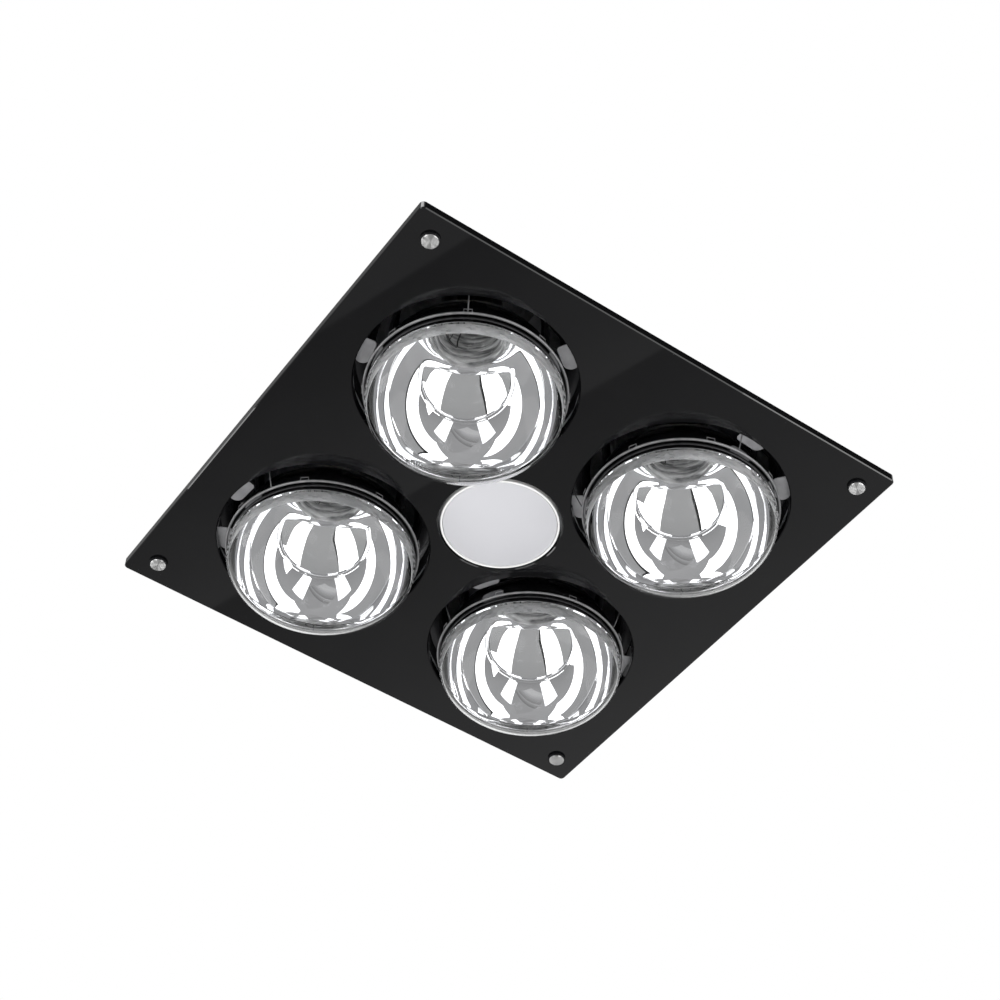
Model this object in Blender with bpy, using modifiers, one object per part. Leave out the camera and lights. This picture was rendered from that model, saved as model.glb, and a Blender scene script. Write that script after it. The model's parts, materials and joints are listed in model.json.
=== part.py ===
"""Bathroom ceiling heater: four infrared lamps, a round light and an extraction fan behind a glass fascia.

Units are metres and +Z is up. The origin is the middle of the ceiling's underside, so the flange lies against
z = 0, the glass faces -Z into the room and the housing stands above. The duct leaves towards +X.
"""

from math import asin, cos, pi, radians, sin, sqrt, tau

import bmesh
import bpy
from mathutils import Matrix, Vector

# Clearances and cutting
FIT = 0.0003                # gap between pieces that touch on the real product
OVERRUN = 0.002             # how far every cutter runs past what it cuts
BITE = 0.0005               # how far joined shapes run into each other
MERGE = 0.00001             # merge distance of turned shapes

# Mesh counts, all in fours so that a pin lies the same way as its hole
FINE_STEPS = 24
ROUND_STEPS = 16
SMALL_STEPS = 12
CORNER_STEPS = 3

# Glass fascia
FASCIA_LAP = 0.0055         # how far the glass reaches past the flange
FASCIA_THICK = 0.0065
FASCIA_CORNER = 0.003
FASCIA_CHAMFER = 0.0006
HOLE_LAP = 0.001            # how far the glass covers a well's wall
LIGHT_HOLE_GAP = 0.0016
STUD_INSET = 0.0175
STUD_CLEARANCE = 0.001

# Corner cap nuts and their studs
STUD_R = 0.002
BUTTON_R = 0.0055
BUTTON_HEIGHT = 0.0022
BUTTON_CHAMFER = 0.0006
BUTTON_WALL = 0.0007

# Mounting frame
FLANGE_REACH = 0.012
FLANGE_THICK = 0.002
FLANGE_CORNER = 0.004
LEDGE_WIDE = 0.005
SKIRT_WALL = 0.002
SKIRT_HEIGHT = 0.026
BOARD_THICK = 0.013
BOSS_WIDE = 0.016
BOSS_RISE = 0.007

# Housing shell and deck plate
SHELL_GAP = 0.0007          # between the wells and the shell
SHELL_WALL = 0.001
ROOF_SPACE = 0.0112         # above the motor
CABLE_HOLE_R = 0.006
DECK_THICK = 0.001

# Lamps
LAMP_R = 0.0625
LAMP_PROUD = 0.042
LAMP_LENGTH = 0.181
NECK_R = 0.0115
GLASS_WALL = 0.0012
CAP_R = 0.0131
CAP_WALL = 0.0008
CAP_LENGTH = 0.027
CAP_SKIRT = 0.007
CAP_SHOULDER = 0.005
CAP_THREADS = 3
CAP_THREAD_DEPTH = 0.0008
CONTACT_R = 0.0045
CONTACT_RISE = 0.002
FILAMENT_R = 0.015
FILAMENT_WIRE_R = 0.0009
FILAMENT_DEPTH = 0.096
FILAMENT_STEPS = 6
STEM_LENGTH = 0.028
STEM_FLARE = 0.003
STEM_TIP_R = 0.0045

# Outer line of the lamp glass below its neck: radius as a share of the widest radius, and
# distance behind the front as a share of the lamp's length.
LAMP_GLASS_SHARES = (
    (0.290, 0.790), (0.325, 0.700), (0.345, 0.580), (0.358, 0.520), (0.391, 0.486), (0.515, 0.462),
    (0.669, 0.419), (0.819, 0.356), (0.940, 0.268), (1.000, 0.140), (0.945, 0.078), (0.690, 0.033), (0.000, 0.000),
)

# Lamp wells
WELL_GAP = 0.0095           # round the lamp
WELL_SPACING = 0.008        # from a well's lip to the middle line
WELL_WALL = 0.0008
WELL_LIP = 0.0045
WELL_STEP_WIDE = 0.008
WELL_STEP_RISE = 0.013
WELL_STEP_TILT = 0.002
WELL_TAPER = 0.018
WELL_RISE = 0.050
WELL_SLOTS = 6
WELL_SLOT_WIDE = 0.014
WELL_SLOT_START = 0.024
WELL_SLOT_RISE = 0.016
TAB_WIDE = 0.008
TAB_RISE = 0.004
TAB_REACH = 0.0065
TAB_TURNS = (radians(75), radians(195), radians(315))

# Lampholders and their rails
HOLDER_R = 0.019
HOLDER_WALL = 0.005
HOLDER_ROOF = 0.011
RAIL_WIDE = 0.026
RAIL_THICK = 0.0012
RAIL_SIDE_RISE = 0.008
RAIL_END_RISE = 0.022

# Round light
LIGHT_RING_INSET = 0.0026   # from the cooling body's edge
LIGHT_RING_WALL = 0.0014
LIGHT_RING_LIP = 0.005
LIGHT_RING_LIP_THICK = 0.0014
DIFFUSER_FACE = 0.002
DIFFUSER_WALL = 0.0015
DIFFUSER_SUNK = 0.0003
LIGHT_BOARD_THICK = 0.0011
HEATSINK_GAP = 0.001        # to the wells' lips
HEATSINK_RIM = 0.008
HEATSINK_BASE = 0.002
HEATSINK_FINS = 7
HEATSINK_FIN_THICK = 0.0018
HEATSINK_FIN_RISE = 0.024

# Blower
BLOWER_BACK_SHARE = 0.142   # of the lamps' distance from the middle
BLOWER_SIDE_SHARE = 0.355
SCROLL_SPACING = 0.0125     # from the scroll's widest point to a lamp's axis
SCROLL_GROWTH = 0.014
SCROLL_HEIGHT = 0.056
SCROLL_WALL = 0.0015
SCROLL_STEPS = 24
INLET_LAP = 0.010           # how far the inlet covers the wheel
INLET_WALL = 0.0015
INLET_RISE = 0.004
IMPELLER_SPACE = 0.008
IMPELLER_ROOM = 0.012       # what the wheel leaves of the scroll's height
IMPELLER_GAP = 0.004
IMPELLER_PLATE = 0.0015
IMPELLER_RING_WIDE = 0.007
IMPELLER_BLADES = 16
IMPELLER_BLADE_THICK = 0.0012
IMPELLER_BLADE_DEPTH = 0.006
IMPELLER_BLADE_LEAN = radians(35)
HUB_R = 0.008
HUB_RISE = 0.012
HUB_FLOOR = 0.003
SHAFT_R = 0.003
SHAFT_GRIP = 0.018
MOTOR_R = 0.034
MOTOR_HEIGHT = 0.027
MOTOR_FLANGE_R = 0.042
MOTOR_FLANGE_THICK = 0.002
CAPACITOR_WIDE = 0.038
CAPACITOR_DEEP = 0.020
CAPACITOR_TALL = 0.030
CAPACITOR_RISE = 0.0095

# Duct outlet and its flaps
SPIGOT_R = 0.049
SPIGOT_WALL = 0.0015
SPIGOT_LENGTH = 0.056
SPIGOT_FLANGE_R = 0.058
SPIGOT_FLANGE_THICK = 0.002
FLAP_INSET = 0.007
FLAP_THICK = 0.0012
FLAP_SIDE_GAP = 0.0005
FLAP_EDGE_GAP = 0.0012
FLAP_PIN_R = 0.0015
KNUCKLE_R = 0.0028
KNUCKLE_LENGTH = 0.012
KNUCKLE_START = 0.010
KNUCKLE_GAP = 0.0005

# Clamps
CLAMP_INSET = 0.0097
CLAMP_REACH = 0.036
CLAMP_WIDE = 0.012
CLAMP_THICK = 0.003
CLAMP_HUB_R = 0.007
CLAMP_HUB_RISE = 0.010
CLAMP_SWING_ROOM = 0.003
SCREW_R = 0.0025
SCREW_HEAD_R = 0.0048
SCREW_HEAD_THICK = 0.003
SCREW_TOP = 0.042
SCREW_RECESS_R = 0.002
SCREW_RECESS_DEPTH = 0.0016

# Electrical parts on the roof
TERMINAL_INSET = 0.0677
TERMINAL_SIDE_INSET = 0.0827
TERMINAL_LONG = 0.090
TERMINAL_WIDE = 0.060
TERMINAL_TALL = 0.030
TERMINAL_WALL = 0.002
TERMINAL_LID = 0.0025
BLOCK_LONG = 0.056
BLOCK_WIDE = 0.018
BLOCK_TALL = 0.016
BLOCK_WAYS = 5
BLOCK_WIRE_R = 0.002
BLOCK_SIDE = 0.016
GLAND_R = 0.0075
GLAND_NUT_R = 0.011
GLAND_NUT_LONG = 0.006
GLAND_LONG = 0.026
GLAND_INSIDE = 0.005
GLAND_BORE_R = 0.0045
GLAND_SIDE = -0.014
DRIVER_INSET = 0.0677
DRIVER_SIDE = 0.020
DRIVER_LONG = 0.100
DRIVER_WIDE = 0.040
DRIVER_TALL = 0.022
DRIVER_CORNER = 0.004
CUTOUT_R = 0.009
CUTOUT_TALL = 0.006

# Sizes across, worked out from the lamp outwards
WELL_R = LAMP_R + WELL_GAP
WELL_LIP_R = WELL_R + WELL_LIP
WELL_STEP_R = WELL_R - WELL_STEP_WIDE
WELL_THROAT_R = WELL_STEP_R - WELL_TAPER
LAMP_OFFSET = WELL_LIP_R + WELL_SPACING
LAMP_HOLE_R = WELL_R - HOLE_LAP
SHELL_INNER = LAMP_OFFSET + WELL_LIP_R + SHELL_GAP
SHELL_HALF = SHELL_INNER + SHELL_WALL
SKIRT_INNER = SHELL_HALF + FIT
SKIRT_OUTER = SKIRT_INNER + SKIRT_WALL
LEDGE_HALF = SKIRT_INNER - LEDGE_WIDE
FLANGE_HALF = SKIRT_OUTER + FLANGE_REACH
FASCIA_HALF = FLANGE_HALF + FASCIA_LAP
STUD_OFFSET = FASCIA_HALF - STUD_INSET
CLAMP_PIVOT = SHELL_INNER - CLAMP_INSET
HEATSINK_R = sqrt(2) * LAMP_OFFSET - WELL_LIP_R - HEATSINK_GAP
HEATSINK_BOSS_R = HEATSINK_R - HEATSINK_RIM
LIGHT_RING_R = HEATSINK_R - LIGHT_RING_INSET
LIGHT_HOLE_R = LIGHT_RING_R + LIGHT_HOLE_GAP
BLOWER_X = -BLOWER_BACK_SHARE * LAMP_OFFSET
BLOWER_Y = BLOWER_SIDE_SHARE * LAMP_OFFSET
SCROLL_END_R = LAMP_OFFSET - SCROLL_SPACING
SCROLL_START_R = SCROLL_END_R - SCROLL_GROWTH
IMPELLER_R = SCROLL_START_R - IMPELLER_SPACE
IMPELLER_HEIGHT = SCROLL_HEIGHT - IMPELLER_ROOM
INLET_R = IMPELLER_R - INLET_LAP
TERMINAL_X = TERMINAL_INSET - SHELL_HALF
TERMINAL_Y = TERMINAL_SIDE_INSET - SHELL_HALF
DRIVER_Y = SHELL_HALF - DRIVER_INSET

# Levels, from the ceiling's underside
FASCIA_BACK_Z = -FLANGE_THICK - FIT
FASCIA_FRONT_Z = FASCIA_BACK_Z - FASCIA_THICK
STUD_HOLE_R = STUD_R + STUD_CLEARANCE
BUTTON_BACK_Z = FASCIA_FRONT_Z - FIT
BUTTON_FACE_Z = BUTTON_BACK_Z - BUTTON_HEIGHT
BUTTON_FLOOR_Z = BUTTON_FACE_Z + BUTTON_WALL
STUD_END_Z = BUTTON_FLOOR_Z + FIT
DECK_TOP_Z = FIT + DECK_THICK
ABOVE_DECK_Z = DECK_TOP_Z + FIT
CLAMP_Z = BOARD_THICK + FIT
CLAMP_TURNS = tuple(i * pi / 2 for i in range(4))
SCREW_HEAD_Z = -FLANGE_THICK + FIT
LAMP_FRONT_Z = FASCIA_FRONT_Z - LAMP_PROUD
LAMP_END_Z = LAMP_FRONT_Z + LAMP_LENGTH
CAP_START_Z = LAMP_END_Z - CONTACT_RISE - CAP_LENGTH
NECK_TOP_Z = CAP_START_Z + CAP_SKIRT - FIT
HOLDER_FLOOR_Z = LAMP_END_Z + FIT
HOLDER_TOP_Z = HOLDER_FLOOR_Z + HOLDER_ROOF
HOLDER_MOUTH_Z = CAP_START_Z + CAP_SKIRT
HOLDER_BORE_R = HOLDER_R - HOLDER_WALL
RAIL_Z = HOLDER_TOP_Z + FIT
SCROLL_TOP_Z = HOLDER_TOP_Z
SCROLL_BOTTOM_Z = SCROLL_TOP_Z - SCROLL_HEIGHT
DUCT_Z = SCROLL_BOTTOM_Z + SCROLL_HEIGHT / 2
OUTLET_HALF = SCROLL_END_R - BLOWER_Y
INLET_TOP_Z = SCROLL_BOTTOM_Z + INLET_WALL
IMPELLER_TOP_Z = SCROLL_TOP_Z - SCROLL_WALL - IMPELLER_GAP
MOTOR_Z = SCROLL_TOP_Z + FIT
SHELL_TOP = MOTOR_Z + MOTOR_HEIGHT + ROOF_SPACE
ROOF_Z = SHELL_TOP + FIT
CAPACITOR_Z = SCROLL_BOTTOM_Z + CAPACITOR_RISE
SPIGOT_X = SHELL_HALF + FIT
SPIGOT_BORE_R = SPIGOT_R - SPIGOT_WALL
FLAP_X = SPIGOT_X + FLAP_INSET

# Directions
AXIS_TURNS = {
    "X": Matrix.Rotation(pi / 2, 4, "Y"),
    "Y": Matrix.Rotation(-pi / 2, 4, "X"),
    "Z": Matrix.Identity(4),
}
LAMP_CORNERS = ((1, -1), (1, 1), (-1, 1), (-1, -1))

# Colour, roughness, metallic value
FINISHES = {
    "black_glass": ((0.008, 0.008, 0.009), 0.04, 0.0),
    "turned_steel": ((0.62, 0.61, 0.59), 0.28, 1.0),
    "galvanised_steel": ((0.52, 0.53, 0.54), 0.42, 1.0),
    "black_steel": ((0.03, 0.03, 0.032), 0.35, 0.4),
    "zinc_screw": ((0.66, 0.65, 0.60), 0.30, 1.0),
    "lamp_glass": ((0.85, 0.87, 0.88), 0.06, 0.3),
    "tungsten": ((0.30, 0.29, 0.28), 0.40, 1.0),
    "brass_cap": ((0.74, 0.60, 0.32), 0.30, 1.0),
    "ceramic": ((0.86, 0.85, 0.81), 0.30, 0.0),
    "opal": ((0.80, 0.80, 0.82), 0.35, 0.0),
    "white_plastic": ((0.85, 0.85, 0.84), 0.40, 0.0),
    "grey_plastic": ((0.40, 0.41, 0.42), 0.50, 0.0),
    "black_plastic": ((0.04, 0.04, 0.045), 0.50, 0.0),
    "aluminium": ((0.70, 0.71, 0.72), 0.38, 1.0),
    "circuit_board": ((0.80, 0.81, 0.78), 0.45, 0.0),
    "motor_steel": ((0.35, 0.36, 0.38), 0.45, 0.9),
}


def clear_scene():
    for item in list(bpy.data.objects):
        bpy.data.objects.remove(item)


def new_collection(name):
    made = bpy.data.collections.new(name)
    bpy.context.scene.collection.children.link(made)
    return made


clear_scene()
PARTS = new_collection("bathroom_ceiling_heater")
CUTTERS = new_collection("cutters")


def make_materials():
    """One Principled material for each finish."""
    made = {}
    for name, (colour, roughness, metallic) in FINISHES.items():
        material = bpy.data.materials.new(name)
        material.use_nodes = True
        shader = material.node_tree.nodes["Principled BSDF"]
        shader.inputs["Base Color"].default_value = (*colour, 1)
        shader.inputs["Roughness"].default_value = roughness
        shader.inputs["Metallic"].default_value = metallic
        material.diffuse_color = (*colour, 1)
        made[name] = material
    return made


MATERIALS = make_materials()


def place(name, mesh, finish=None, location=(0, 0, 0), turn=0.0, tilt=0.0, roll=0.0, parent=None):
    """Link a mesh as a named piece, or as a hidden cutter where it has no finish.

    roll turns it about its own Z first, tilt then leans it about Y, and turn turns it about the vertical.
    """
    item = bpy.data.objects.new(name, mesh)
    if finish:
        PARTS.objects.link(item)
        mesh.materials.clear()
        mesh.materials.append(MATERIALS[finish])
    else:
        CUTTERS.objects.link(item)
        item.hide_render = True
        item.display_type = "WIRE"
    item.location = location
    spin = Matrix.Rotation(turn, 3, "Z") @ Matrix.Rotation(tilt, 3, "Y") @ Matrix.Rotation(roll, 3, "Z")
    item.rotation_euler = spin.to_euler()
    item.parent = parent
    return item


def smooth(item, angle=radians(35)):
    item.data.shade_smooth()
    item.data.set_sharp_from_angle(angle=angle)
    return item


def mesh_of(shape, name):
    mesh = bpy.data.meshes.new(name)
    shape.to_mesh(mesh)
    shape.free()
    return mesh


def block(name, low, high, finish=None, **where):
    """A box between two corners."""
    shape = bmesh.new()
    low, high = Vector(low), Vector(high)
    size = Matrix.Diagonal((*(high - low), 1))
    bmesh.ops.create_cube(shape, size=1, matrix=Matrix.Translation((low + high) / 2) @ size)
    return place(name, mesh_of(shape, name), finish, **where)


def cylinder(name, radius, start, end, finish=None, axis="Z", steps=SMALL_STEPS, centre=(0, 0, 0), **where):
    """A cylinder from start to end along its axis, through centre."""
    shape = bmesh.new()
    lift = Matrix.Translation((0, 0, (start + end) / 2))
    spot = Matrix.Translation(centre) @ AXIS_TURNS[axis] @ lift
    bmesh.ops.create_cone(
        shape, cap_ends=True, segments=steps, radius1=radius, radius2=radius, depth=end - start, matrix=spot
    )
    return smooth(place(name, mesh_of(shape, name), finish, **where))


def turned(name, profile, finish=None, closed=False, steps=ROUND_STEPS, **where):
    """A profile of (radius, height) points, turned about Z. It runs down its outer side."""
    mesh = bpy.data.meshes.new(name)
    edges = [(i, i + 1) for i in range(len(profile) - 1)]
    if closed:
        edges.append((len(profile) - 1, 0))
    mesh.from_pydata([(radius, 0, height) for radius, height in profile], edges, [])
    item = place(name, mesh, finish, **where)
    screw = item.modifiers.new("Screw", "SCREW")
    screw.steps = steps
    screw.render_steps = steps
    screw.use_merge_vertices = True
    screw.merge_threshold = MERGE
    screw.use_smooth_shade = True
    return item


def arc(centre, radius, start, end, steps):
    """Points along an arc, both ends included."""
    turns = [start + (end - start) * i / steps for i in range(steps + 1)]
    return [(centre[0] + radius * cos(turn), centre[1] + radius * sin(turn)) for turn in turns]


def ring(radius, centre=(0, 0), steps=FINE_STEPS):
    return arc(centre, radius, 0, tau, steps)[:-1]


def rounded_square(half, corner, steps=CORNER_STEPS):
    """Outline of a square with round corners."""
    points = []
    for i, (x, y) in enumerate(((1, 1), (-1, 1), (-1, -1), (1, -1))):
        middle = (x * (half - corner), y * (half - corner))
        points += arc(middle, corner, i * pi / 2, (i + 1) * pi / 2, steps)
    return points


def square(half):
    return [(half, half), (-half, half), (-half, -half), (half, -half)]


def plate(name, loops, low, high, finish=None, **where):
    """A flat plate from low to high: the first loop is its outline, the others are its holes."""
    curve = bpy.data.curves.new(name, "CURVE")
    curve.dimensions = "2D"
    curve.fill_mode = "BOTH"
    curve.extrude = (high - low) / 2
    for loop in loops:
        spline = curve.splines.new("POLY")
        spline.points.add(len(loop) - 1)
        spline.use_cyclic_u = True
        for point, (x, y) in zip(spline.points, loop):
            point.co = (x, y, 0, 1)
    return made_solid(name, curve, Matrix.Translation((0, 0, (low + high) / 2)), finish, **where)


def tube(name, points, radius, finish=None, resolution=1, **where):
    """A round wire along points, with closed ends."""
    curve = bpy.data.curves.new(name, "CURVE")
    curve.dimensions = "3D"
    curve.bevel_depth = radius
    curve.bevel_resolution = resolution
    curve.use_fill_caps = True
    spline = curve.splines.new("POLY")
    spline.points.add(len(points) - 1)
    for point, spot in zip(spline.points, points):
        point.co = (*spot, 1)
    return made_solid(name, curve, Matrix.Identity(4), finish, **where)


def made_solid(name, curve, spot, finish, **where):
    """Turn a curve into a closed mesh, so that it can be cut and joined."""
    guide = bpy.data.objects.new(name + "_curve", curve)
    CUTTERS.objects.link(guide)
    bpy.context.view_layer.update()
    graph = bpy.context.evaluated_depsgraph_get()
    mesh = bpy.data.meshes.new_from_object(guide.evaluated_get(graph))
    shape = bmesh.new()
    shape.from_mesh(mesh)
    bmesh.ops.remove_doubles(shape, verts=shape.verts, dist=MERGE)
    bmesh.ops.recalc_face_normals(shape, faces=shape.faces)
    shape.transform(spot)
    shape.to_mesh(mesh)
    shape.free()
    bpy.data.objects.remove(guide)
    bpy.data.curves.remove(curve)
    return smooth(place(name, mesh, finish, **where))


def combine(target, other, operation):
    step = target.modifiers.new(operation.title(), "BOOLEAN")
    step.operation = operation
    step.object = other
    step.solver = "EXACT"


def cut(target, *others):
    for other in others:
        combine(target, other, "DIFFERENCE")


def join(target, *others):
    for other in others:
        combine(target, other, "UNION")


def bevel(item, width, angle=radians(60)):
    step = item.modifiers.new("Bevel", "BEVEL")
    step.width = width
    step.segments = 1
    step.limit_method = "ANGLE"
    step.angle_limit = angle


def solidify(item, thick, offset):
    step = item.modifiers.new("Solidify", "SOLIDIFY")
    step.thickness = thick
    step.offset = offset
    step.use_even_offset = True


def empty(name, location, turn=0.0):
    """A pivot that carries the pieces of one assembly."""
    item = bpy.data.objects.new(name, None)
    PARTS.objects.link(item)
    item.location = location
    item.rotation_euler = (0, 0, turn)
    return item


def make_fascia():
    """Black glass plate with its holes and polished edges."""
    holes = [ring(LAMP_HOLE_R, (x * LAMP_OFFSET, y * LAMP_OFFSET)) for x, y in LAMP_CORNERS]
    holes.append(ring(LIGHT_HOLE_R))
    for x, y in LAMP_CORNERS:
        holes.append(ring(STUD_HOLE_R, (x * STUD_OFFSET, y * STUD_OFFSET), SMALL_STEPS))
    outline = rounded_square(FASCIA_HALF, FASCIA_CORNER)
    glass = plate("fascia_glass", [outline, *holes], FASCIA_FRONT_Z, FASCIA_BACK_Z, "black_glass")
    bevel(glass, FASCIA_CHAMFER)


def make_button(number, x, y):
    """Turned cap nut over a stud, hollow from behind."""
    bore = STUD_R + FIT
    profile = (
        (0, BUTTON_FLOOR_Z),
        (bore, BUTTON_FLOOR_Z),
        (bore, BUTTON_BACK_Z),
        (BUTTON_R, BUTTON_BACK_Z),
        (BUTTON_R, BUTTON_FACE_Z + BUTTON_CHAMFER),
        (BUTTON_R - BUTTON_CHAMFER, BUTTON_FACE_Z),
        (0, BUTTON_FACE_Z),
    )
    spot = (x * STUD_OFFSET, y * STUD_OFFSET, 0)
    turned(f"fascia_button_{number}", profile, "turned_steel", location=spot)


def arm_window(number, turn):
    """Space that one clamp arm sweeps through the skirt and the shell."""
    side = CLAMP_WIDE / 2 + CLAMP_SWING_ROOM
    low = (SHELL_INNER - OVERRUN, -side, CLAMP_Z - CLAMP_SWING_ROOM)
    high = (SKIRT_OUTER + OVERRUN, CLAMP_REACH + side, CLAMP_Z + CLAMP_THICK + CLAMP_SWING_ROOM)
    return block(f"arm_window_{number}", low, high, turn=turn)


def make_mounting_frame(windows):
    """Flange with its ledge, the skirt in the ceiling's hole, the studs and the screw bosses."""
    loops = [rounded_square(FLANGE_HALF, FLANGE_CORNER), square(LEDGE_HALF)]
    frame = plate("mounting_frame", loops, -FLANGE_THICK, 0, "galvanised_steel")
    join(frame, plate("skirt_shape", [square(SKIRT_OUTER), square(SKIRT_INNER)], -BITE, SKIRT_HEIGHT))
    for number, (x, y) in enumerate(LAMP_CORNERS, start=1):
        spot = (x * STUD_OFFSET, y * STUD_OFFSET, 0)
        join(frame, cylinder(f"stud_shape_{number}", STUD_R, STUD_END_Z, -BITE, centre=spot))
    half = BOSS_WIDE / 2
    low, high = (CLAMP_PIVOT - half, -half, -FLANGE_THICK), (CLAMP_PIVOT + half, half, BOSS_RISE)
    for number, turn in enumerate(CLAMP_TURNS, start=1):
        join(frame, block(f"boss_shape_{number}", low, high, turn=turn))
    spot = (CLAMP_PIVOT, 0, 0)
    seat_top = SCREW_HEAD_Z + SCREW_HEAD_THICK + FIT
    for number, turn in enumerate(CLAMP_TURNS, start=1):
        hole = cylinder(f"boss_hole_{number}", SCREW_R + FIT, 0, BOSS_RISE + OVERRUN, centre=spot, turn=turn)
        seat = cylinder(
            f"boss_seat_{number}", SCREW_HEAD_R + FIT, -FLANGE_THICK - OVERRUN, seat_top,
            centre=spot, turn=turn,
        )
        cut(frame, seat, hole)
    cut(frame, *windows)


def make_clamp(number, turn):
    """Screw in its boss, and the arm that swings out over the ceiling board."""
    pivot = empty(f"clamp_pivot_{number}", Matrix.Rotation(turn, 3, "Z") @ Vector((CLAMP_PIVOT, 0, 0)), turn)
    head_top = SCREW_HEAD_Z + SCREW_HEAD_THICK
    profile = (
        (0, SCREW_TOP),
        (SCREW_R, SCREW_TOP),
        (SCREW_R, head_top),
        (SCREW_HEAD_R, head_top),
        (SCREW_HEAD_R, SCREW_HEAD_Z),
        (SCREW_RECESS_R, SCREW_HEAD_Z),
        (SCREW_RECESS_R, SCREW_HEAD_Z + SCREW_RECESS_DEPTH),
        (0, SCREW_HEAD_Z + SCREW_RECESS_DEPTH),
    )
    turned(f"clamp_screw_{number}", profile, "zinc_screw", steps=SMALL_STEPS, parent=pivot)
    low = (0, -CLAMP_WIDE / 2, CLAMP_Z)
    high = (CLAMP_REACH, CLAMP_WIDE / 2, CLAMP_Z + CLAMP_THICK)
    arm = block(f"clamp_arm_{number}", low, high, "zinc_screw", parent=pivot)
    hub_top = CLAMP_Z + CLAMP_HUB_RISE
    join(arm, cylinder(f"hub_shape_{number}", CLAMP_HUB_R, CLAMP_Z, hub_top, parent=pivot))
    bore_top = hub_top + OVERRUN
    cut(arm, cylinder(f"hub_bore_{number}", SCREW_R + FIT, CLAMP_Z - OVERRUN, bore_top, parent=pivot))


def make_housing_shell(windows):
    """Sheet steel box, open below, with the duct hole, the cable hole and the arm windows."""
    low = (-SHELL_HALF, -SHELL_HALF, ABOVE_DECK_Z)
    shell = block("housing_shell", low, (SHELL_HALF, SHELL_HALF, SHELL_TOP), "galvanised_steel")
    low = (-SHELL_INNER, -SHELL_INNER, ABOVE_DECK_Z - OVERRUN)
    hollow = block("shell_hollow", low, (SHELL_INNER, SHELL_INNER, SHELL_TOP - SHELL_WALL))
    duct = cylinder(
        "shell_duct_hole", SPIGOT_BORE_R, SHELL_INNER - OVERRUN, SHELL_HALF + OVERRUN,
        axis="X", steps=FINE_STEPS, centre=(0, 0, DUCT_Z),
    )
    cable = cylinder(
        "shell_cable_hole", CABLE_HOLE_R, SHELL_TOP - SHELL_WALL - OVERRUN, SHELL_TOP + OVERRUN,
        centre=(TERMINAL_X, TERMINAL_Y, 0),
    )
    cut(shell, hollow, duct, cable, *windows)


def make_deck_plate():
    """Plate on the ledge, notched round the bosses, with holes for the lamps and the light."""
    side = BOSS_WIDE / 2 + FIT
    depth = CLAMP_PIVOT - side
    notch = [(SHELL_HALF, -side), (depth, -side), (depth, side), (SHELL_HALF, side)]
    outline = []
    for turn in CLAMP_TURNS:
        spin = Matrix.Rotation(turn, 2)
        outline += [tuple(spin @ Vector(point)) for point in (*notch, (SHELL_HALF, SHELL_HALF))]
    holes = [ring(WELL_R, (x * LAMP_OFFSET, y * LAMP_OFFSET)) for x, y in LAMP_CORNERS]
    holes.append(ring(HEATSINK_BOSS_R + FIT, steps=ROUND_STEPS))
    plate("deck_plate", [outline, *holes], FIT, DECK_TOP_Z, "galvanised_steel")


def make_well(number, spot):
    """Dark cup round a lamp: mouth, step, cone with air slots, open throat and three lamp tabs."""
    profile = (
        (WELL_THROAT_R, ABOVE_DECK_Z + WELL_RISE),
        (WELL_STEP_R, ABOVE_DECK_Z + WELL_STEP_RISE + WELL_STEP_TILT),
        (WELL_R, ABOVE_DECK_Z + WELL_STEP_RISE),
        (WELL_R, ABOVE_DECK_Z),
        (WELL_LIP_R, ABOVE_DECK_Z),
    )
    well = turned(f"lamp_well_{number}", profile, "black_steel", steps=FINE_STEPS, location=spot)
    solidify(well, WELL_WALL, 1)
    slot_start = ABOVE_DECK_Z + WELL_SLOT_START
    for i in range(WELL_SLOTS):
        low = (WELL_THROAT_R - OVERRUN, -WELL_SLOT_WIDE / 2, slot_start)
        high = (WELL_STEP_R + OVERRUN, WELL_SLOT_WIDE / 2, slot_start + WELL_SLOT_RISE)
        cut(well, block(f"well_slot_{number}_{i + 1}", low, high, location=spot, turn=tau * i / WELL_SLOTS))
    low = (WELL_R - TAB_REACH, -TAB_WIDE / 2, ABOVE_DECK_Z)
    high = (WELL_R + BITE, TAB_WIDE / 2, ABOVE_DECK_Z + TAB_RISE)
    for i, turn in enumerate(TAB_TURNS, start=1):
        join(well, block(f"well_tab_{number}_{i}", low, high, location=spot, turn=turn))


def make_lamp(number, spot):
    """Reflector lamp: glass, screw cap, and the stem that carries the filament."""
    outer = [(NECK_R, NECK_TOP_Z), (NECK_R, CAP_START_Z - FIT)]
    for radius, back in LAMP_GLASS_SHARES:
        outer.append((radius * LAMP_R, LAMP_FRONT_Z + back * LAMP_LENGTH))
    bulb = turned(f"lamp_bulb_{number}", outer, "lamp_glass", location=spot)
    solidify(bulb, GLASS_WALL, -1)
    make_lamp_cap(number, spot)
    make_filament(number, spot)


def make_lamp_cap(number, spot):
    shoulder = LAMP_END_Z - CONTACT_RISE
    thread_start = shoulder - CAP_SHOULDER
    thread_end = CAP_START_Z + CAP_SKIRT
    turns = CAP_THREADS * 2
    profile = [(0, LAMP_END_Z), (CONTACT_R, LAMP_END_Z), (CONTACT_R, shoulder)]
    for i in range(turns + 1):
        depth = CAP_THREAD_DEPTH if i % 2 else 0
        profile.append((CAP_R - depth, thread_start + (thread_end - thread_start) * i / turns))
    inner = CAP_R - CAP_WALL
    profile += [(CAP_R, CAP_START_Z), (inner, CAP_START_Z), (inner, thread_end), (0, thread_end)]
    turned(f"lamp_cap_{number}", profile, "brass_cap", steps=SMALL_STEPS, location=spot)


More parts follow.
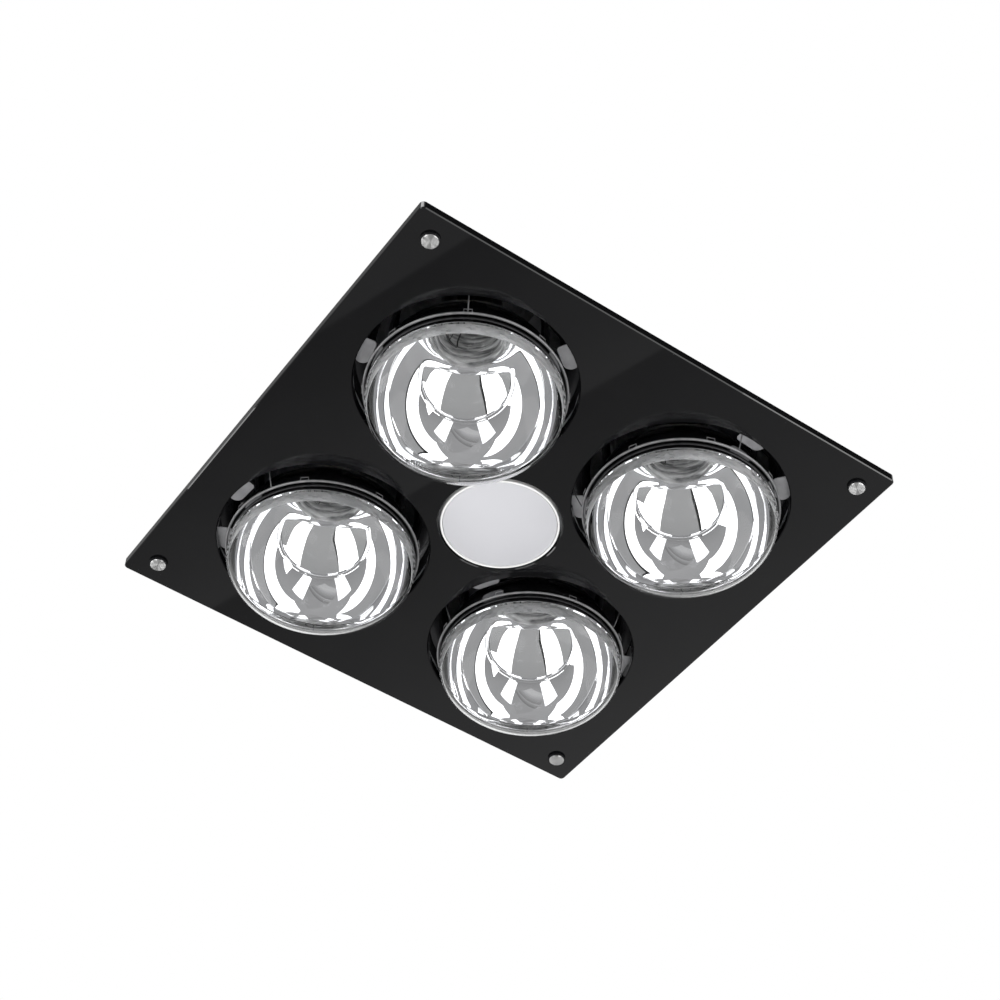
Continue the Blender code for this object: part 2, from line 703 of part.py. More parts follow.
def make_filament(number, spot):
    flare = NECK_R - GLASS_WALL - FIT
    tip = NECK_TOP_Z - STEM_LENGTH
    profile = (
        (0, NECK_TOP_Z),
        (flare, NECK_TOP_Z),
        (flare, NECK_TOP_Z - STEM_FLARE),
        (STEM_TIP_R, NECK_TOP_Z - STEM_LENGTH / 2),
        (STEM_TIP_R, tip),
        (0, tip),
    )
    mount = turned(f"lamp_filament_{number}", profile, "tungsten", steps=SMALL_STEPS, location=spot)
    start = STEM_TIP_R / 2
    level = LAMP_FRONT_Z + FILAMENT_DEPTH
    knee = (level + tip) / 2
    hot = [(x, y, level) for x, y in arc((0, 0), FILAMENT_R, pi, tau, FILAMENT_STEPS)]
    feed = [(-start, 0, tip + start), (-FILAMENT_R, 0, knee)]
    back = [(FILAMENT_R, 0, knee), (start, 0, tip + start)]
    join(mount, tube(f"filament_wire_{number}", [*feed, *hot, *back], FILAMENT_WIRE_R, location=spot))


def make_lampholder(number, spot):
    profile = (
        (0, HOLDER_TOP_Z),
        (HOLDER_R, HOLDER_TOP_Z),
        (HOLDER_R, HOLDER_MOUTH_Z),
        (HOLDER_BORE_R, HOLDER_MOUTH_Z),
        (HOLDER_BORE_R, HOLDER_FLOOR_Z),
        (0, HOLDER_FLOOR_Z),
    )
    turned(f"lampholder_{number}", profile, "ceramic", steps=SMALL_STEPS, location=spot)


def make_rail(number, x):
    """Steel channel from wall to wall, with standing ends."""
    half, reach = RAIL_WIDE / 2, SHELL_INNER - FIT
    spot = (x, 0, 0)
    top = RAIL_Z + RAIL_END_RISE
    low = (-half, -reach, RAIL_Z)
    rail = block(f"holder_rail_{number}", low, (half, reach, top), "galvanised_steel", location=spot)
    side, end = half - RAIL_THICK, reach - RAIL_THICK
    low, high = (-side, -end, RAIL_Z + RAIL_THICK), (side, end, top + OVERRUN)
    trough = block(f"rail_trough_{number}", low, high, location=spot)
    low, high = (-half - OVERRUN, -end, RAIL_Z + RAIL_SIDE_RISE), (half + OVERRUN, end, top + OVERRUN)
    cut(rail, trough, block(f"rail_sides_{number}", low, high, location=spot))


def make_light():
    """Rim, opal cover, board and cooling body of the round light."""
    inner = LIGHT_RING_R - LIGHT_RING_WALL
    lip = inner - LIGHT_RING_LIP
    profile = (
        (LIGHT_RING_R, 0),
        (LIGHT_RING_R, FASCIA_FRONT_Z),
        (inner, FASCIA_FRONT_Z),
        (inner, -LIGHT_RING_LIP_THICK),
        (lip, -LIGHT_RING_LIP_THICK),
        (lip, 0),
    )
    turned("led_ring", profile, "white_plastic", closed=True, steps=FINE_STEPS)
    cover = inner - FIT
    face = FASCIA_FRONT_Z + DIFFUSER_SUNK
    back = -LIGHT_RING_LIP_THICK - FIT
    profile = (
        (0, face + DIFFUSER_FACE),
        (cover - DIFFUSER_WALL, face + DIFFUSER_FACE),
        (cover - DIFFUSER_WALL, back),
        (cover, back),
        (cover, face),
        (0, face),
    )
    turned("led_diffuser", profile, "opal", steps=FINE_STEPS)
    cylinder("led_board", lip - FIT, -LIGHT_BOARD_THICK, 0, "circuit_board", steps=ROUND_STEPS)
    make_heatsink()


def make_heatsink():
    base_top = ABOVE_DECK_Z + HEATSINK_BASE
    profile = (
        (0, base_top),
        (HEATSINK_R, base_top),
        (HEATSINK_R, ABOVE_DECK_Z),
        (HEATSINK_BOSS_R, ABOVE_DECK_Z),
        (HEATSINK_BOSS_R, FIT),
        (0, FIT),
    )
    body = turned("led_heatsink", profile, "aluminium")
    fins = bmesh.new()
    gap = 2 * HEATSINK_BOSS_R / (HEATSINK_FINS - 1)
    for i in range(HEATSINK_FINS):
        y = i * gap - HEATSINK_BOSS_R
        reach = sqrt(HEATSINK_R**2 - (abs(y) + HEATSINK_FIN_THICK) ** 2)
        size = Matrix.Diagonal((2 * reach, HEATSINK_FIN_THICK, HEATSINK_FIN_RISE + BITE, 1))
        lift = Matrix.Translation((0, y, base_top + (HEATSINK_FIN_RISE - BITE) / 2))
        bmesh.ops.create_cube(fins, size=1, matrix=lift @ size)
    join(body, place("heatsink_fins", mesh_of(fins, "heatsink_fins")))


def volute(inset, end):
    """Outline of the scroll: a growing spiral from the tongue, then the straight outlet to x = end."""
    side = OUTLET_HALF - inset
    start = asin((side - BLOWER_Y) / (SCROLL_START_R - inset))
    points = []
    for i in range(SCROLL_STEPS + 1):
        share = i / SCROLL_STEPS
        turn = start + (3 * pi / 2 - start) * share
        radius = SCROLL_START_R + (SCROLL_END_R - SCROLL_START_R) * share - inset
        points.append((BLOWER_X + radius * cos(turn), BLOWER_Y + radius * sin(turn)))
    return [*points, (end, -side), (end, side)]


def make_scroll():
    """Blower casing and the inlet plate that closes it from below."""
    outer = volute(0, SHELL_INNER - FIT)
    scroll = plate("blower_scroll", [outer], INLET_TOP_Z + FIT, SCROLL_TOP_Z, "galvanised_steel")
    roof = SCROLL_TOP_Z - SCROLL_WALL
    hollow = plate("scroll_hollow", [volute(SCROLL_WALL, SHELL_INNER + OVERRUN)], INLET_TOP_Z - OVERRUN, roof)
    spot = (BLOWER_X, BLOWER_Y, 0)
    hub_hole = cylinder("scroll_hub_hole", HUB_R, roof - OVERRUN, SCROLL_TOP_Z + OVERRUN, location=spot)
    cut(scroll, hollow, hub_hole)
    eye = ring(INLET_R, (BLOWER_X, BLOWER_Y))
    inlet = plate("blower_inlet", [outer, eye], SCROLL_BOTTOM_Z, INLET_TOP_Z, "galvanised_steel")
    lip_top = INLET_TOP_Z + INLET_RISE
    profile = (
        (INLET_R + INLET_WALL, lip_top),
        (INLET_R + INLET_WALL, SCROLL_BOTTOM_Z),
        (INLET_R, SCROLL_BOTTOM_Z),
        (INLET_R, lip_top),
    )
    join(inlet, turned("inlet_lip_shape", profile, closed=True, steps=FINE_STEPS, location=spot))


def make_impeller():
    """Wheel with leaning blades between its plate and its ring, and the shaft in its hub."""
    spot = (BLOWER_X, BLOWER_Y, 0)
    top = IMPELLER_TOP_Z
    under_plate = top - IMPELLER_PLATE
    hub_end = under_plate - HUB_RISE
    floor = hub_end + HUB_FLOOR
    bore = SHAFT_R + FIT
    profile = (
        (0, floor),
        (bore, floor),
        (bore, top),
        (IMPELLER_R, top),
        (IMPELLER_R, under_plate),
        (HUB_R, under_plate),
        (HUB_R, hub_end),
        (0, hub_end),
    )
    wheel = turned("impeller", profile, "black_plastic", location=spot)
    bottom = top - IMPELLER_HEIGHT
    inner = IMPELLER_R - IMPELLER_RING_WIDE
    profile = (
        (IMPELLER_R, bottom + IMPELLER_PLATE),
        (IMPELLER_R, bottom),
        (inner, bottom),
        (inner, bottom + IMPELLER_PLATE),
    )
    low_ring = turned("impeller_ring_shape", profile, closed=True, location=spot)
    blades = bmesh.new()
    height = IMPELLER_HEIGHT - 2 * IMPELLER_PLATE + 2 * BITE
    size = Matrix.Diagonal((IMPELLER_BLADE_DEPTH, IMPELLER_BLADE_THICK, height, 1))
    middle = Matrix.Translation((IMPELLER_R - IMPELLER_RING_WIDE / 2, 0, (top + bottom) / 2))
    lean = Matrix.Rotation(IMPELLER_BLADE_LEAN, 4, "Z")
    for i in range(IMPELLER_BLADES):
        round_turn = Matrix.Rotation(tau * i / IMPELLER_BLADES, 4, "Z")
        bmesh.ops.create_cube(blades, size=1, matrix=round_turn @ middle @ lean @ size)
    blade_set = place("impeller_blade_shapes", mesh_of(blades, "impeller_blade_shapes"), location=spot)
    join(wheel, blade_set, low_ring)
    cylinder("motor_shaft", SHAFT_R, floor + FIT, MOTOR_Z + SHAFT_GRIP - FIT, "zinc_screw", location=spot)


def make_motor():
    """Motor can on the scroll's roof, and its run capacitor on the wall."""
    bore = SHAFT_R + 2 * FIT
    flange_top = MOTOR_Z + MOTOR_FLANGE_THICK
    profile = (
        (0, MOTOR_Z + MOTOR_HEIGHT),
        (MOTOR_R, MOTOR_Z + MOTOR_HEIGHT),
        (MOTOR_R, flange_top),
        (MOTOR_FLANGE_R, flange_top),
        (MOTOR_FLANGE_R, MOTOR_Z),
        (bore, MOTOR_Z),
        (bore, MOTOR_Z + SHAFT_GRIP),
        (0, MOTOR_Z + SHAFT_GRIP),
    )
    turned("motor_can", profile, "motor_steel", location=(BLOWER_X, BLOWER_Y, 0))
    wall = -SHELL_INNER + FIT
    low = (wall, -CAPACITOR_WIDE / 2, CAPACITOR_Z - CAPACITOR_TALL / 2)
    high = (wall + CAPACITOR_DEEP, CAPACITOR_WIDE / 2, CAPACITOR_Z + CAPACITOR_TALL / 2)
    block("motor_capacitor", low, high, "black_plastic")


def make_duct():
    """Round outlet on the shell's side, the pin across it and its two flaps."""
    profile = (
        (SPIGOT_R, SPIGOT_LENGTH),
        (SPIGOT_R, SPIGOT_FLANGE_THICK),
        (SPIGOT_FLANGE_R, SPIGOT_FLANGE_THICK),
        (SPIGOT_FLANGE_R, 0),
        (SPIGOT_BORE_R, 0),
        (SPIGOT_BORE_R, SPIGOT_LENGTH),
    )
    wall_spot = (SPIGOT_X, 0, DUCT_Z)
    spigot = turned(
        "duct_spigot", profile, "black_plastic", closed=True, steps=FINE_STEPS,
        location=wall_spot, tilt=pi / 2,
    )
    spot = (FLAP_X, 0, DUCT_Z)
    reach = SPIGOT_R + OVERRUN
    cut(spigot, cylinder("spigot_pin_hole", FLAP_PIN_R + FIT, -reach, reach, location=spot))
    reach = SPIGOT_R - FIT
    cylinder("damper_pin", FLAP_PIN_R, -reach, reach, "zinc_screw", location=spot)
    for number, roll in enumerate((0, pi), start=1):
        make_flap(number, {"location": spot, "tilt": pi / 2, "roll": roll})


def make_flap(number, where):
    """Half disc with two knuckles on the pin. The second is the first turned over."""
    root = KNUCKLE_R + FLAP_SIDE_GAP
    radius = SPIGOT_BORE_R - FLAP_EDGE_GAP
    corner = asin(root / radius)
    outline = arc((0, 0), radius, corner, pi - corner, FINE_STEPS // 2)
    half = FLAP_THICK / 2
    flap = plate(f"damper_flap_{number}", [outline], -half, half, "grey_plastic", **where)
    far_start = -KNUCKLE_START - 2 * KNUCKLE_LENGTH - KNUCKLE_GAP
    for i, start in enumerate((far_start, KNUCKLE_START), start=1):
        end = start + KNUCKLE_LENGTH
        web = block(f"flap_web_{number}_{i}", (start, 0, -half), (end, root + BITE, half), **where)
        join(flap, web, cylinder(f"flap_knuckle_{number}_{i}", KNUCKLE_R, start, end, axis="X", **where))
    cut(flap, cylinder(f"flap_bore_{number}", FLAP_PIN_R + FIT, -radius, radius, axis="X", **where))


def make_terminals():
    """Terminal box on the roof with its lid, its block and its cable gland."""
    half_long, half_wide = TERMINAL_LONG / 2, TERMINAL_WIDE / 2
    spot = (TERMINAL_X, TERMINAL_Y, 0)
    top = ROOF_Z + TERMINAL_TALL
    floor = ROOF_Z + TERMINAL_WALL
    low = (-half_long, -half_wide, ROOF_Z)
    box = block("terminal_box", low, (half_long, half_wide, top), "grey_plastic", location=spot)
    inner_long, inner_wide = half_long - TERMINAL_WALL, half_wide - TERMINAL_WALL
    low, high = (-inner_long, -inner_wide, floor), (inner_long, inner_wide, top + OVERRUN)
    hollow = block("terminal_hollow", low, high, location=spot)
    low = ROOF_Z - OVERRUN
    floor_hole = cylinder("terminal_floor_hole", CABLE_HOLE_R, low, floor + OVERRUN, location=spot)
    gland_spot = (TERMINAL_X - half_long, TERMINAL_Y + GLAND_SIDE, ROOF_Z + TERMINAL_TALL / 2)
    gland = {"location": gland_spot, "tilt": -pi / 2}
    gland_hole = cylinder("terminal_gland_hole", GLAND_R + FIT, -TERMINAL_WALL - OVERRUN, OVERRUN, **gland)
    cut(box, hollow, floor_hole, gland_hole)
    low, high = (-half_long, -half_wide, top + FIT), (half_long, half_wide, top + FIT + TERMINAL_LID)
    lid = block("terminal_cover", low, high, "grey_plastic", location=spot)
    lip_long, lip_wide = inner_long - FIT, inner_wide - FIT
    low, high = (-lip_long, -lip_wide, top - TERMINAL_LID), (lip_long, lip_wide, top + FIT + BITE)
    join(lid, block("cover_lip_shape", low, high, location=spot))
    make_terminal_block((TERMINAL_X, TERMINAL_Y + BLOCK_SIDE, floor + FIT))
    inside = -TERMINAL_WALL - GLAND_INSIDE
    profile = (
        (GLAND_R, GLAND_LONG),
        (GLAND_R, GLAND_NUT_LONG),
        (GLAND_NUT_R, GLAND_NUT_LONG),
        (GLAND_NUT_R, FIT),
        (GLAND_R, FIT),
        (GLAND_R, inside),
        (GLAND_BORE_R, inside),
        (GLAND_BORE_R, GLAND_LONG),
    )
    turned("cable_gland", profile, "black_plastic", closed=True, steps=SMALL_STEPS, **gland)


def make_terminal_block(spot):
    """Insulated block with a row of wire ways."""
    half_long, half_wide = BLOCK_LONG / 2, BLOCK_WIDE / 2
    low, high = (-half_long, -half_wide, 0), (half_long, half_wide, BLOCK_TALL)
    body = block("terminal_block", low, high, "white_plastic", location=spot)
    ways = bmesh.new()
    pitch = BLOCK_LONG / BLOCK_WAYS
    for i in range(BLOCK_WAYS):
        lift = Matrix.Translation(((i + 0.5) * pitch - half_long, 0, BLOCK_TALL / 2))
        bmesh.ops.create_cone(
            ways, cap_ends=True, segments=SMALL_STEPS, radius1=BLOCK_WIRE_R, radius2=BLOCK_WIRE_R,
            depth=BLOCK_WIDE + 2 * OVERRUN, matrix=lift @ AXIS_TURNS["Y"],
        )
    cut(body, place("block_way_shapes", mesh_of(ways, "block_way_shapes"), location=spot))


def make_roof_parts():
    """The light's supply on the roof and the thermal cut-out on a rail."""
    low = (DRIVER_SIDE - DRIVER_LONG / 2, DRIVER_Y - DRIVER_WIDE / 2, ROOF_Z)
    high = (DRIVER_SIDE + DRIVER_LONG / 2, DRIVER_Y + DRIVER_WIDE / 2, ROOF_Z + DRIVER_TALL)
    bevel(block("led_driver", low, high, "white_plastic"), DRIVER_CORNER)
    level = RAIL_Z + RAIL_THICK + FIT
    spot = (-LAMP_OFFSET, 0, 0)
    cylinder("thermal_cutout", CUTOUT_R, level, level + CUTOUT_TALL, "black_plastic", location=spot)


def main():
    windows = [arm_window(number, turn) for number, turn in enumerate(CLAMP_TURNS, start=1)]
    make_fascia()
    make_mounting_frame(windows)
    make_housing_shell(windows)
    make_deck_plate()
    for number, (x, y) in enumerate(LAMP_CORNERS, start=1):
        spot = (x * LAMP_OFFSET, y * LAMP_OFFSET, 0)
        make_button(number, x, y)
        make_well(number, spot)
        make_lamp(number, spot)
        make_lampholder(number, spot)
    for number, turn in enumerate(CLAMP_TURNS, start=1):
        make_clamp(number, turn)
    make_rail(1, LAMP_OFFSET)
    make_rail(2, -LAMP_OFFSET)
    make_light()
    make_scroll()
    make_impeller()
    make_motor()
    make_duct()
    make_terminals()
    make_roof_parts()


main()
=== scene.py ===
"""Looks of the bathroom ceiling heater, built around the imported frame.

Units are metres and +Z is up. The glass faces -Z, and the ceiling's underside is z = 0.
"""

import json
from math import cos, pi, radians, sin, sqrt, tau

import bmesh
import bpy
from mathutils import Euler, Matrix, Vector
from mathutils.geometry import tessellate_polygon


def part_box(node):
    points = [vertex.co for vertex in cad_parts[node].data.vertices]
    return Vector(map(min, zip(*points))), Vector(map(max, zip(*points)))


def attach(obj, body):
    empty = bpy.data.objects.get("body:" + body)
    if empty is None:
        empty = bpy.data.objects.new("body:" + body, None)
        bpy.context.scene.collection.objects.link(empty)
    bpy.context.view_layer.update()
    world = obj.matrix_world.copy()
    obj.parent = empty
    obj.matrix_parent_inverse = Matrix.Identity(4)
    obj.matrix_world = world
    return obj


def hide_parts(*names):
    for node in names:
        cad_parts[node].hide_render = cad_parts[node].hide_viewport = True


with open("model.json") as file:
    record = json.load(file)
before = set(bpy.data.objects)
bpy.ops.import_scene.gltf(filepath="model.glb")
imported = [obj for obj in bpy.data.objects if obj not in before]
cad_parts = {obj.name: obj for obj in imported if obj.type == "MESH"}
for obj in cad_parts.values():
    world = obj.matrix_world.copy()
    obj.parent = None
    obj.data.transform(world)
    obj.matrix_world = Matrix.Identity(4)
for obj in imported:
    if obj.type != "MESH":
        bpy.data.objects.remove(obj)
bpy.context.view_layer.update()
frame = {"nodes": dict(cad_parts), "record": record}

# Camera fitted to the photograph
CAMERA_SPOT = (0.8605, -0.5567, -1.1047)
CAMERA_TURN = (radians(137.589), radians(-1.815), radians(55.153))
CAMERA_LENS = 82.11

# Places read from the frame
GLASS_LOW, GLASS_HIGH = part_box("fascia_glass")
FRONT_Z, GLASS_BACK_Z = GLASS_LOW.z, GLASS_HIGH.z
GLASS_HALF = GLASS_HIGH.x
NUMBERS = (1, 2, 3, 4)
SQUARE = ((1, 1), (-1, 1), (-1, -1), (1, -1))


def middle(node):
    low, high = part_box(node)
    return (low + high) / 2


LAMP_SPOTS = {number: middle(f"lamp_bulb_{number}") for number in NUMBERS}
STUD_SPOTS = {number: middle(f"fascia_button_{number}") for number in NUMBERS}


# Materials

def new_material(name):
    made = bpy.data.materials.new(name)
    made.use_nodes = True
    return made, made.node_tree.nodes, made.node_tree.links


def set_sockets(node, **values):
    """Set a node's sockets by their names, with _ for a space."""
    for key, value in values.items():
        node.inputs[key.replace("_", " ")].default_value = value
    return node


def add_node(nodes, kind, **values):
    return set_sockets(nodes.new("ShaderNode" + kind), **values)


def own_coords(nodes):
    return nodes.new("ShaderNodeTexCoord").outputs["Object"]


def noise(nodes, links, coords, scale, detail=4.0, stretch=None):
    """Noise over the piece's own coordinates, optionally stretched along an axis."""
    made = add_node(nodes, "TexNoise", Scale=scale, Detail=detail)
    if stretch:
        mapping = add_node(nodes, "Mapping", Scale=stretch)
        links.new(coords, mapping.inputs["Vector"])
        coords = mapping.outputs["Vector"]
    links.new(coords, made.inputs["Vector"])
    return made.outputs["Fac"]


def spread(nodes, links, source, low, high):
    """Map a 0.3 to 0.7 noise to a range of values."""
    made = add_node(nodes, "MapRange", From_Min=0.3, From_Max=0.7, To_Min=low, To_Max=high)
    links.new(source, made.inputs["Value"])
    return made.outputs["Result"]


def shade_of(nodes, links, source, first, second):
    """Mix two colours by a noise value."""
    made = nodes.new("ShaderNodeValToRGB")
    for element, position, shade in zip(made.color_ramp.elements, (0.35, 0.65), (first, second)):
        element.position = position
        element.color = (*shade, 1)
    links.new(source, made.inputs["Fac"])
    return made.outputs["Color"]


def add_bump(nodes, links, height, distance):
    """Let a value lift the surface, by a distance in metres at most."""
    lift = add_node(nodes, "Bump", Distance=distance, Strength=1.0)
    links.new(height, lift.inputs["Height"])
    links.new(lift.outputs["Normal"], nodes["Principled BSDF"].inputs["Normal"])


def finish(name, first, second, rough, metallic, scale, grain, bump=0.00002, **sockets):
    """A Principled material whose colour and roughness wander and whose surface has a fine grain."""
    made, nodes, links = new_material(name)
    shader = nodes["Principled BSDF"]
    coords = own_coords(nodes)
    wander = noise(nodes, links, coords, scale)
    links.new(shade_of(nodes, links, wander, first, second), shader.inputs["Base Color"])
    fine = noise(nodes, links, coords, grain)
    links.new(spread(nodes, links, fine, *rough), shader.inputs["Roughness"])
    set_sockets(shader, Metallic=metallic, **sockets)
    if bump:
        add_bump(nodes, links, fine, bump)
    return made


TURNED_RINGS = 900.0                     # texture scale of the turning marks
TURNED_DEPTH = 0.000001
SPANGLE_SCALE = 170.0
# The neck's colour is painted in streaks from a mid grey to white: the white streaks are painted
# highlights.
PAINTED_STREAK_DARK, PAINTED_STREAK_HIGHLIGHT = (0.24, 0.24, 0.245), (1.0, 1.0, 1.0)
CREASE_AND_PAINTED_STREAK_SCALE = 60.0
CREASE_AND_PAINTED_STREAK_STRETCH = (1.0, 1.0, 5.0)
CREASE_DEPTH = 0.0018


def turned_finish():
    """Turned stainless steel: fine rings round the piece's own Z, stretched highlights across them."""
    made = finish(
        "turned_steel", (0.66, 0.66, 0.655), (0.70, 0.70, 0.695), (0.30, 0.32), 1.0, 300, 300, 0.0,
        Anisotropic=1.0, Anisotropic_Rotation=0.25,
    )
    nodes, links = made.node_tree.nodes, made.node_tree.links
    tangent = nodes.new("ShaderNodeTangent")
    tangent.direction_type = "RADIAL"
    tangent.axis = "Z"
    links.new(tangent.outputs["Tangent"], nodes["Principled BSDF"].inputs["Tangent"])
    rings = add_node(nodes, "TexWave", Scale=TURNED_RINGS)
    rings.wave_type = "RINGS"
    rings.rings_direction = "Z"
    links.new(own_coords(nodes), rings.inputs["Vector"])
    add_bump(nodes, links, rings.outputs["Fac"], TURNED_DEPTH)
    return made


def spangle_finish():
    """Zinc coated sheet: each crystal of its spangle has a colour and a roughness of its own."""
    first, second = (0.44, 0.45, 0.47), (0.52, 0.53, 0.55)
    rough = (0.40, 0.50)
    made = finish("galvanised_steel", first, second, rough, 0.22, 60, 500, 0.000006, Specular_IOR_Level=0.3)
    nodes, links = made.node_tree.nodes, made.node_tree.links
    shader = nodes["Principled BSDF"]
    cells = add_node(nodes, "TexVoronoi", Scale=SPANGLE_SCALE)
    links.new(own_coords(nodes), cells.inputs["Vector"])
    split = nodes.new("ShaderNodeSeparateColor")
    links.new(cells.outputs["Color"], split.inputs["Color"])
    links.new(shade_of(nodes, links, split.outputs["Red"], first, second), shader.inputs["Base Color"])
    level = add_node(nodes, "MapRange", To_Min=rough[0], To_Max=rough[1])
    links.new(split.outputs["Green"], level.inputs["Value"])
    links.new(level.outputs["Result"], shader.inputs["Roughness"])
    return made


def crinkle_and_painted_glint_finish():
    """Silvered neck glass, drawn into fine horizontal crinkles (a bump), with painted highlights: white
    streaks painted into its colour along the same noise.
    """
    made = finish("crinkled_silver", PAINTED_STREAK_DARK, PAINTED_STREAK_HIGHLIGHT, (0.12, 0.30), 0.15, 80, 210, 0.0)
    nodes, links = made.node_tree.nodes, made.node_tree.links
    creases_and_painted_streaks = noise(nodes, links, own_coords(nodes), CREASE_AND_PAINTED_STREAK_SCALE, 3.0, CREASE_AND_PAINTED_STREAK_STRETCH)
    # Painted highlights: the crinkle noise also paints white streaks into the base colour.
    shade = shade_of(nodes, links, creases_and_painted_streaks, PAINTED_STREAK_DARK, PAINTED_STREAK_HIGHLIGHT)
    links.new(shade, nodes["Principled BSDF"].inputs["Base Color"])
    add_bump(nodes, links, creases_and_painted_streaks, CREASE_DEPTH)
    return made


# Each row: two colours, range of roughness, metallic, scale of the colour's wander, scale of the grain
# and, where it isn't the usual one, the grain's height
FINISHES = {
    "black_steel": ((0.018, 0.018, 0.020), (0.035, 0.035, 0.038), (0.16, 0.26), 0.3, 60, 700),
    "tab_steel": ((0.30, 0.30, 0.31), (0.40, 0.40, 0.41), (0.34, 0.46), 0.4, 90, 500),
    "bright_wire": ((0.20, 0.20, 0.205), (0.28, 0.28, 0.285), (0.45, 0.55), 0.8, 200, 800, 0.0),
    "zinc_screw": ((0.58, 0.57, 0.52), (0.70, 0.69, 0.64), (0.24, 0.36), 1.0, 200, 900),
    "lamp_mirror": ((0.90, 0.90, 0.91), (0.95, 0.95, 0.96), (0.005, 0.02), 1.0, 25, 30, 0.0),
    "lamp_coat": ((0.17, 0.17, 0.175), (0.22, 0.22, 0.225), (0.10, 0.16), 1.0, 12, 60, 0.0),
    # Painted reflection: a pale grey film that stands in for the glass shoulder's internal reflection.
    "lamp_painted_band": ((0.58, 0.58, 0.59), (0.68, 0.68, 0.69), (0.30, 0.42), 0.1, 60, 300, 0.0),
    "tungsten": ((0.035, 0.034, 0.033), (0.08, 0.078, 0.076), (0.25, 0.40), 0.8, 300, 900),
    "brass_cap": ((0.68, 0.53, 0.27), (0.80, 0.66, 0.38), (0.22, 0.34), 1.0, 90, 700),
    "ceramic": ((0.80, 0.79, 0.75), (0.88, 0.87, 0.83), (0.22, 0.34), 0.0, 60, 400, 0.00003),
    "opal": ((0.53, 0.53, 0.555), (0.55, 0.55, 0.575), (0.40, 0.50), 0.0, 12, 900, 0.000006),
    "white_plastic": ((0.80, 0.80, 0.79), (0.86, 0.86, 0.85), (0.32, 0.44), 0.0, 30, 900),
    "grey_plastic": ((0.34, 0.35, 0.36), (0.42, 0.43, 0.44), (0.42, 0.55), 0.0, 30, 1200, 0.00004),
    "black_plastic": ((0.022, 0.022, 0.024), (0.04, 0.04, 0.043), (0.36, 0.50), 0.0, 30, 1100, 0.00004),
    "aluminium": ((0.60, 0.61, 0.62), (0.72, 0.73, 0.74), (0.30, 0.42), 1.0, 70, 600, 0.00004),
    "circuit_board": ((0.74, 0.75, 0.72), (0.82, 0.83, 0.80), (0.35, 0.45), 0.0, 120, 900),
    "motor_steel": ((0.28, 0.29, 0.31), (0.38, 0.39, 0.41), (0.32, 0.44), 0.9, 60, 700, 0.00003),
}
MATERIALS = {name: finish(name, *values) for name, values in FINISHES.items()}
MATERIALS.update(
    black_glass=finish(
        "black_glass", (0.0022, 0.0022, 0.0026), (0.0030, 0.0030, 0.0034), (0.015, 0.03), 0.0, 20, 50, 0.0,
        IOR=1.5,
    ),
    black_rubber=finish(
        "black_rubber", (0.004, 0.004, 0.005), (0.008, 0.008, 0.009), (0.45, 0.6), 0.0, 60, 900,
        Specular_IOR_Level=0.15,
    ),
    clear_glass=finish(
        "clear_glass", (0.97, 0.98, 0.98), (1.0, 1.0, 1.0), (0.0, 0.015), 0.0, 30, 60, 0.0,
        Transmission_Weight=1.0, IOR=1.2,
    ),
    turned_steel=turned_finish(),
    galvanised_steel=spangle_finish(),
    # Neck glass whose colour carries painted highlights in streaks.
    crinkled_silver=crinkle_and_painted_glint_finish(),
)


# Mesh helpers

def new_item(name, data):
    item = bpy.data.objects.new(name, data)
    bpy.context.scene.collection.objects.link(item)
    return item


def new_piece(name, mesh, material, body, nodes=(), spot=(0, 0, 0)):
    """Link a mesh as a piece of the object that rides on a body, and let it stand for CAD nodes."""
    item = new_item(name, mesh)
    item.location = spot
    if not mesh.materials:
        mesh.materials.append(MATERIALS[material])
    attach(item, body)
    if nodes:
        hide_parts(*nodes)
    return item


SHARP_ANGLE = radians(32)                # edges that turn further than this stay sharp


def mesh_from(shape, name, angle=SHARP_ANGLE):
    mesh = bpy.data.meshes.new(name)
    bmesh.ops.recalc_face_normals(shape, faces=shape.faces)
    shape.to_mesh(mesh)
    shape.free()
    mesh.shade_smooth()
    mesh.set_sharp_from_angle(angle=angle)
    return mesh


def ring(radius, steps, centre=(0, 0)):
    """Points round a circle."""
    return [
        (centre[0] + radius * cos(tau * i / steps), centre[1] + radius * sin(tau * i / steps))
        for i in range(steps)
    ]


def bridge(shape, first, second, closed=True):
    """Faces between two rows of corners, also between their ends where the rows are rings."""
    for i in range(len(first) if closed else len(first) - 1):
        j = (i + 1) % len(first)
        shape.faces.new((first[i], first[j], second[j], second[i]))


def add_lathe(shape, profile, steps, closed=True, turn=None):
    """Add a profile of (radius, height) points, turned about Z. Points on the axis close it."""
    turn = turn or Matrix.Identity(4)
    rings = []
    for radius, height in profile:
        points = ring(radius, steps) if radius else [(0, 0)]
        rings.append([shape.verts.new(turn @ Vector((x, y, height))) for x, y in points])
    pairs = list(zip(rings, rings[1:]))
    if closed and len(rings[0]) > 1:
        pairs.append((rings[-1], rings[0]))
    for first, second in pairs:
        for i in range(steps):
            j = (i + 1) % steps
            corners = list(dict.fromkeys((
                first[i % len(first)], first[j % len(first)],
                second[j % len(second)], second[i % len(second)],
            )))
            if len(corners) > 2:
                shape.faces.new(corners)


def lathe(name, profile, steps, angle=SHARP_ANGLE):
    shape = bmesh.new()
    add_lathe(shape, profile, steps)
    return mesh_from(shape, name, angle)


def smooth_line(points, steps):
    """Points along a Catmull-Rom curve through (radius, height) points."""
    line = []
    for i in range(len(points) - 1):
        before = points[max(i - 1, 0)]
        after = points[min(i + 2, len(points) - 1)]
        first, second = points[i], points[i + 1]
        for step in range(steps):
            t = step / steps
            line.append(tuple(
                0.5 * (2 * b + (c - a) * t + (2 * a - 5 * b + 4 * c - d) * t**2
                       + (3 * b - a - 3 * c + d) * t**3)
                for a, b, c, d in zip(before, first, second, after)
            ))
    line.append(points[-1])
    return line


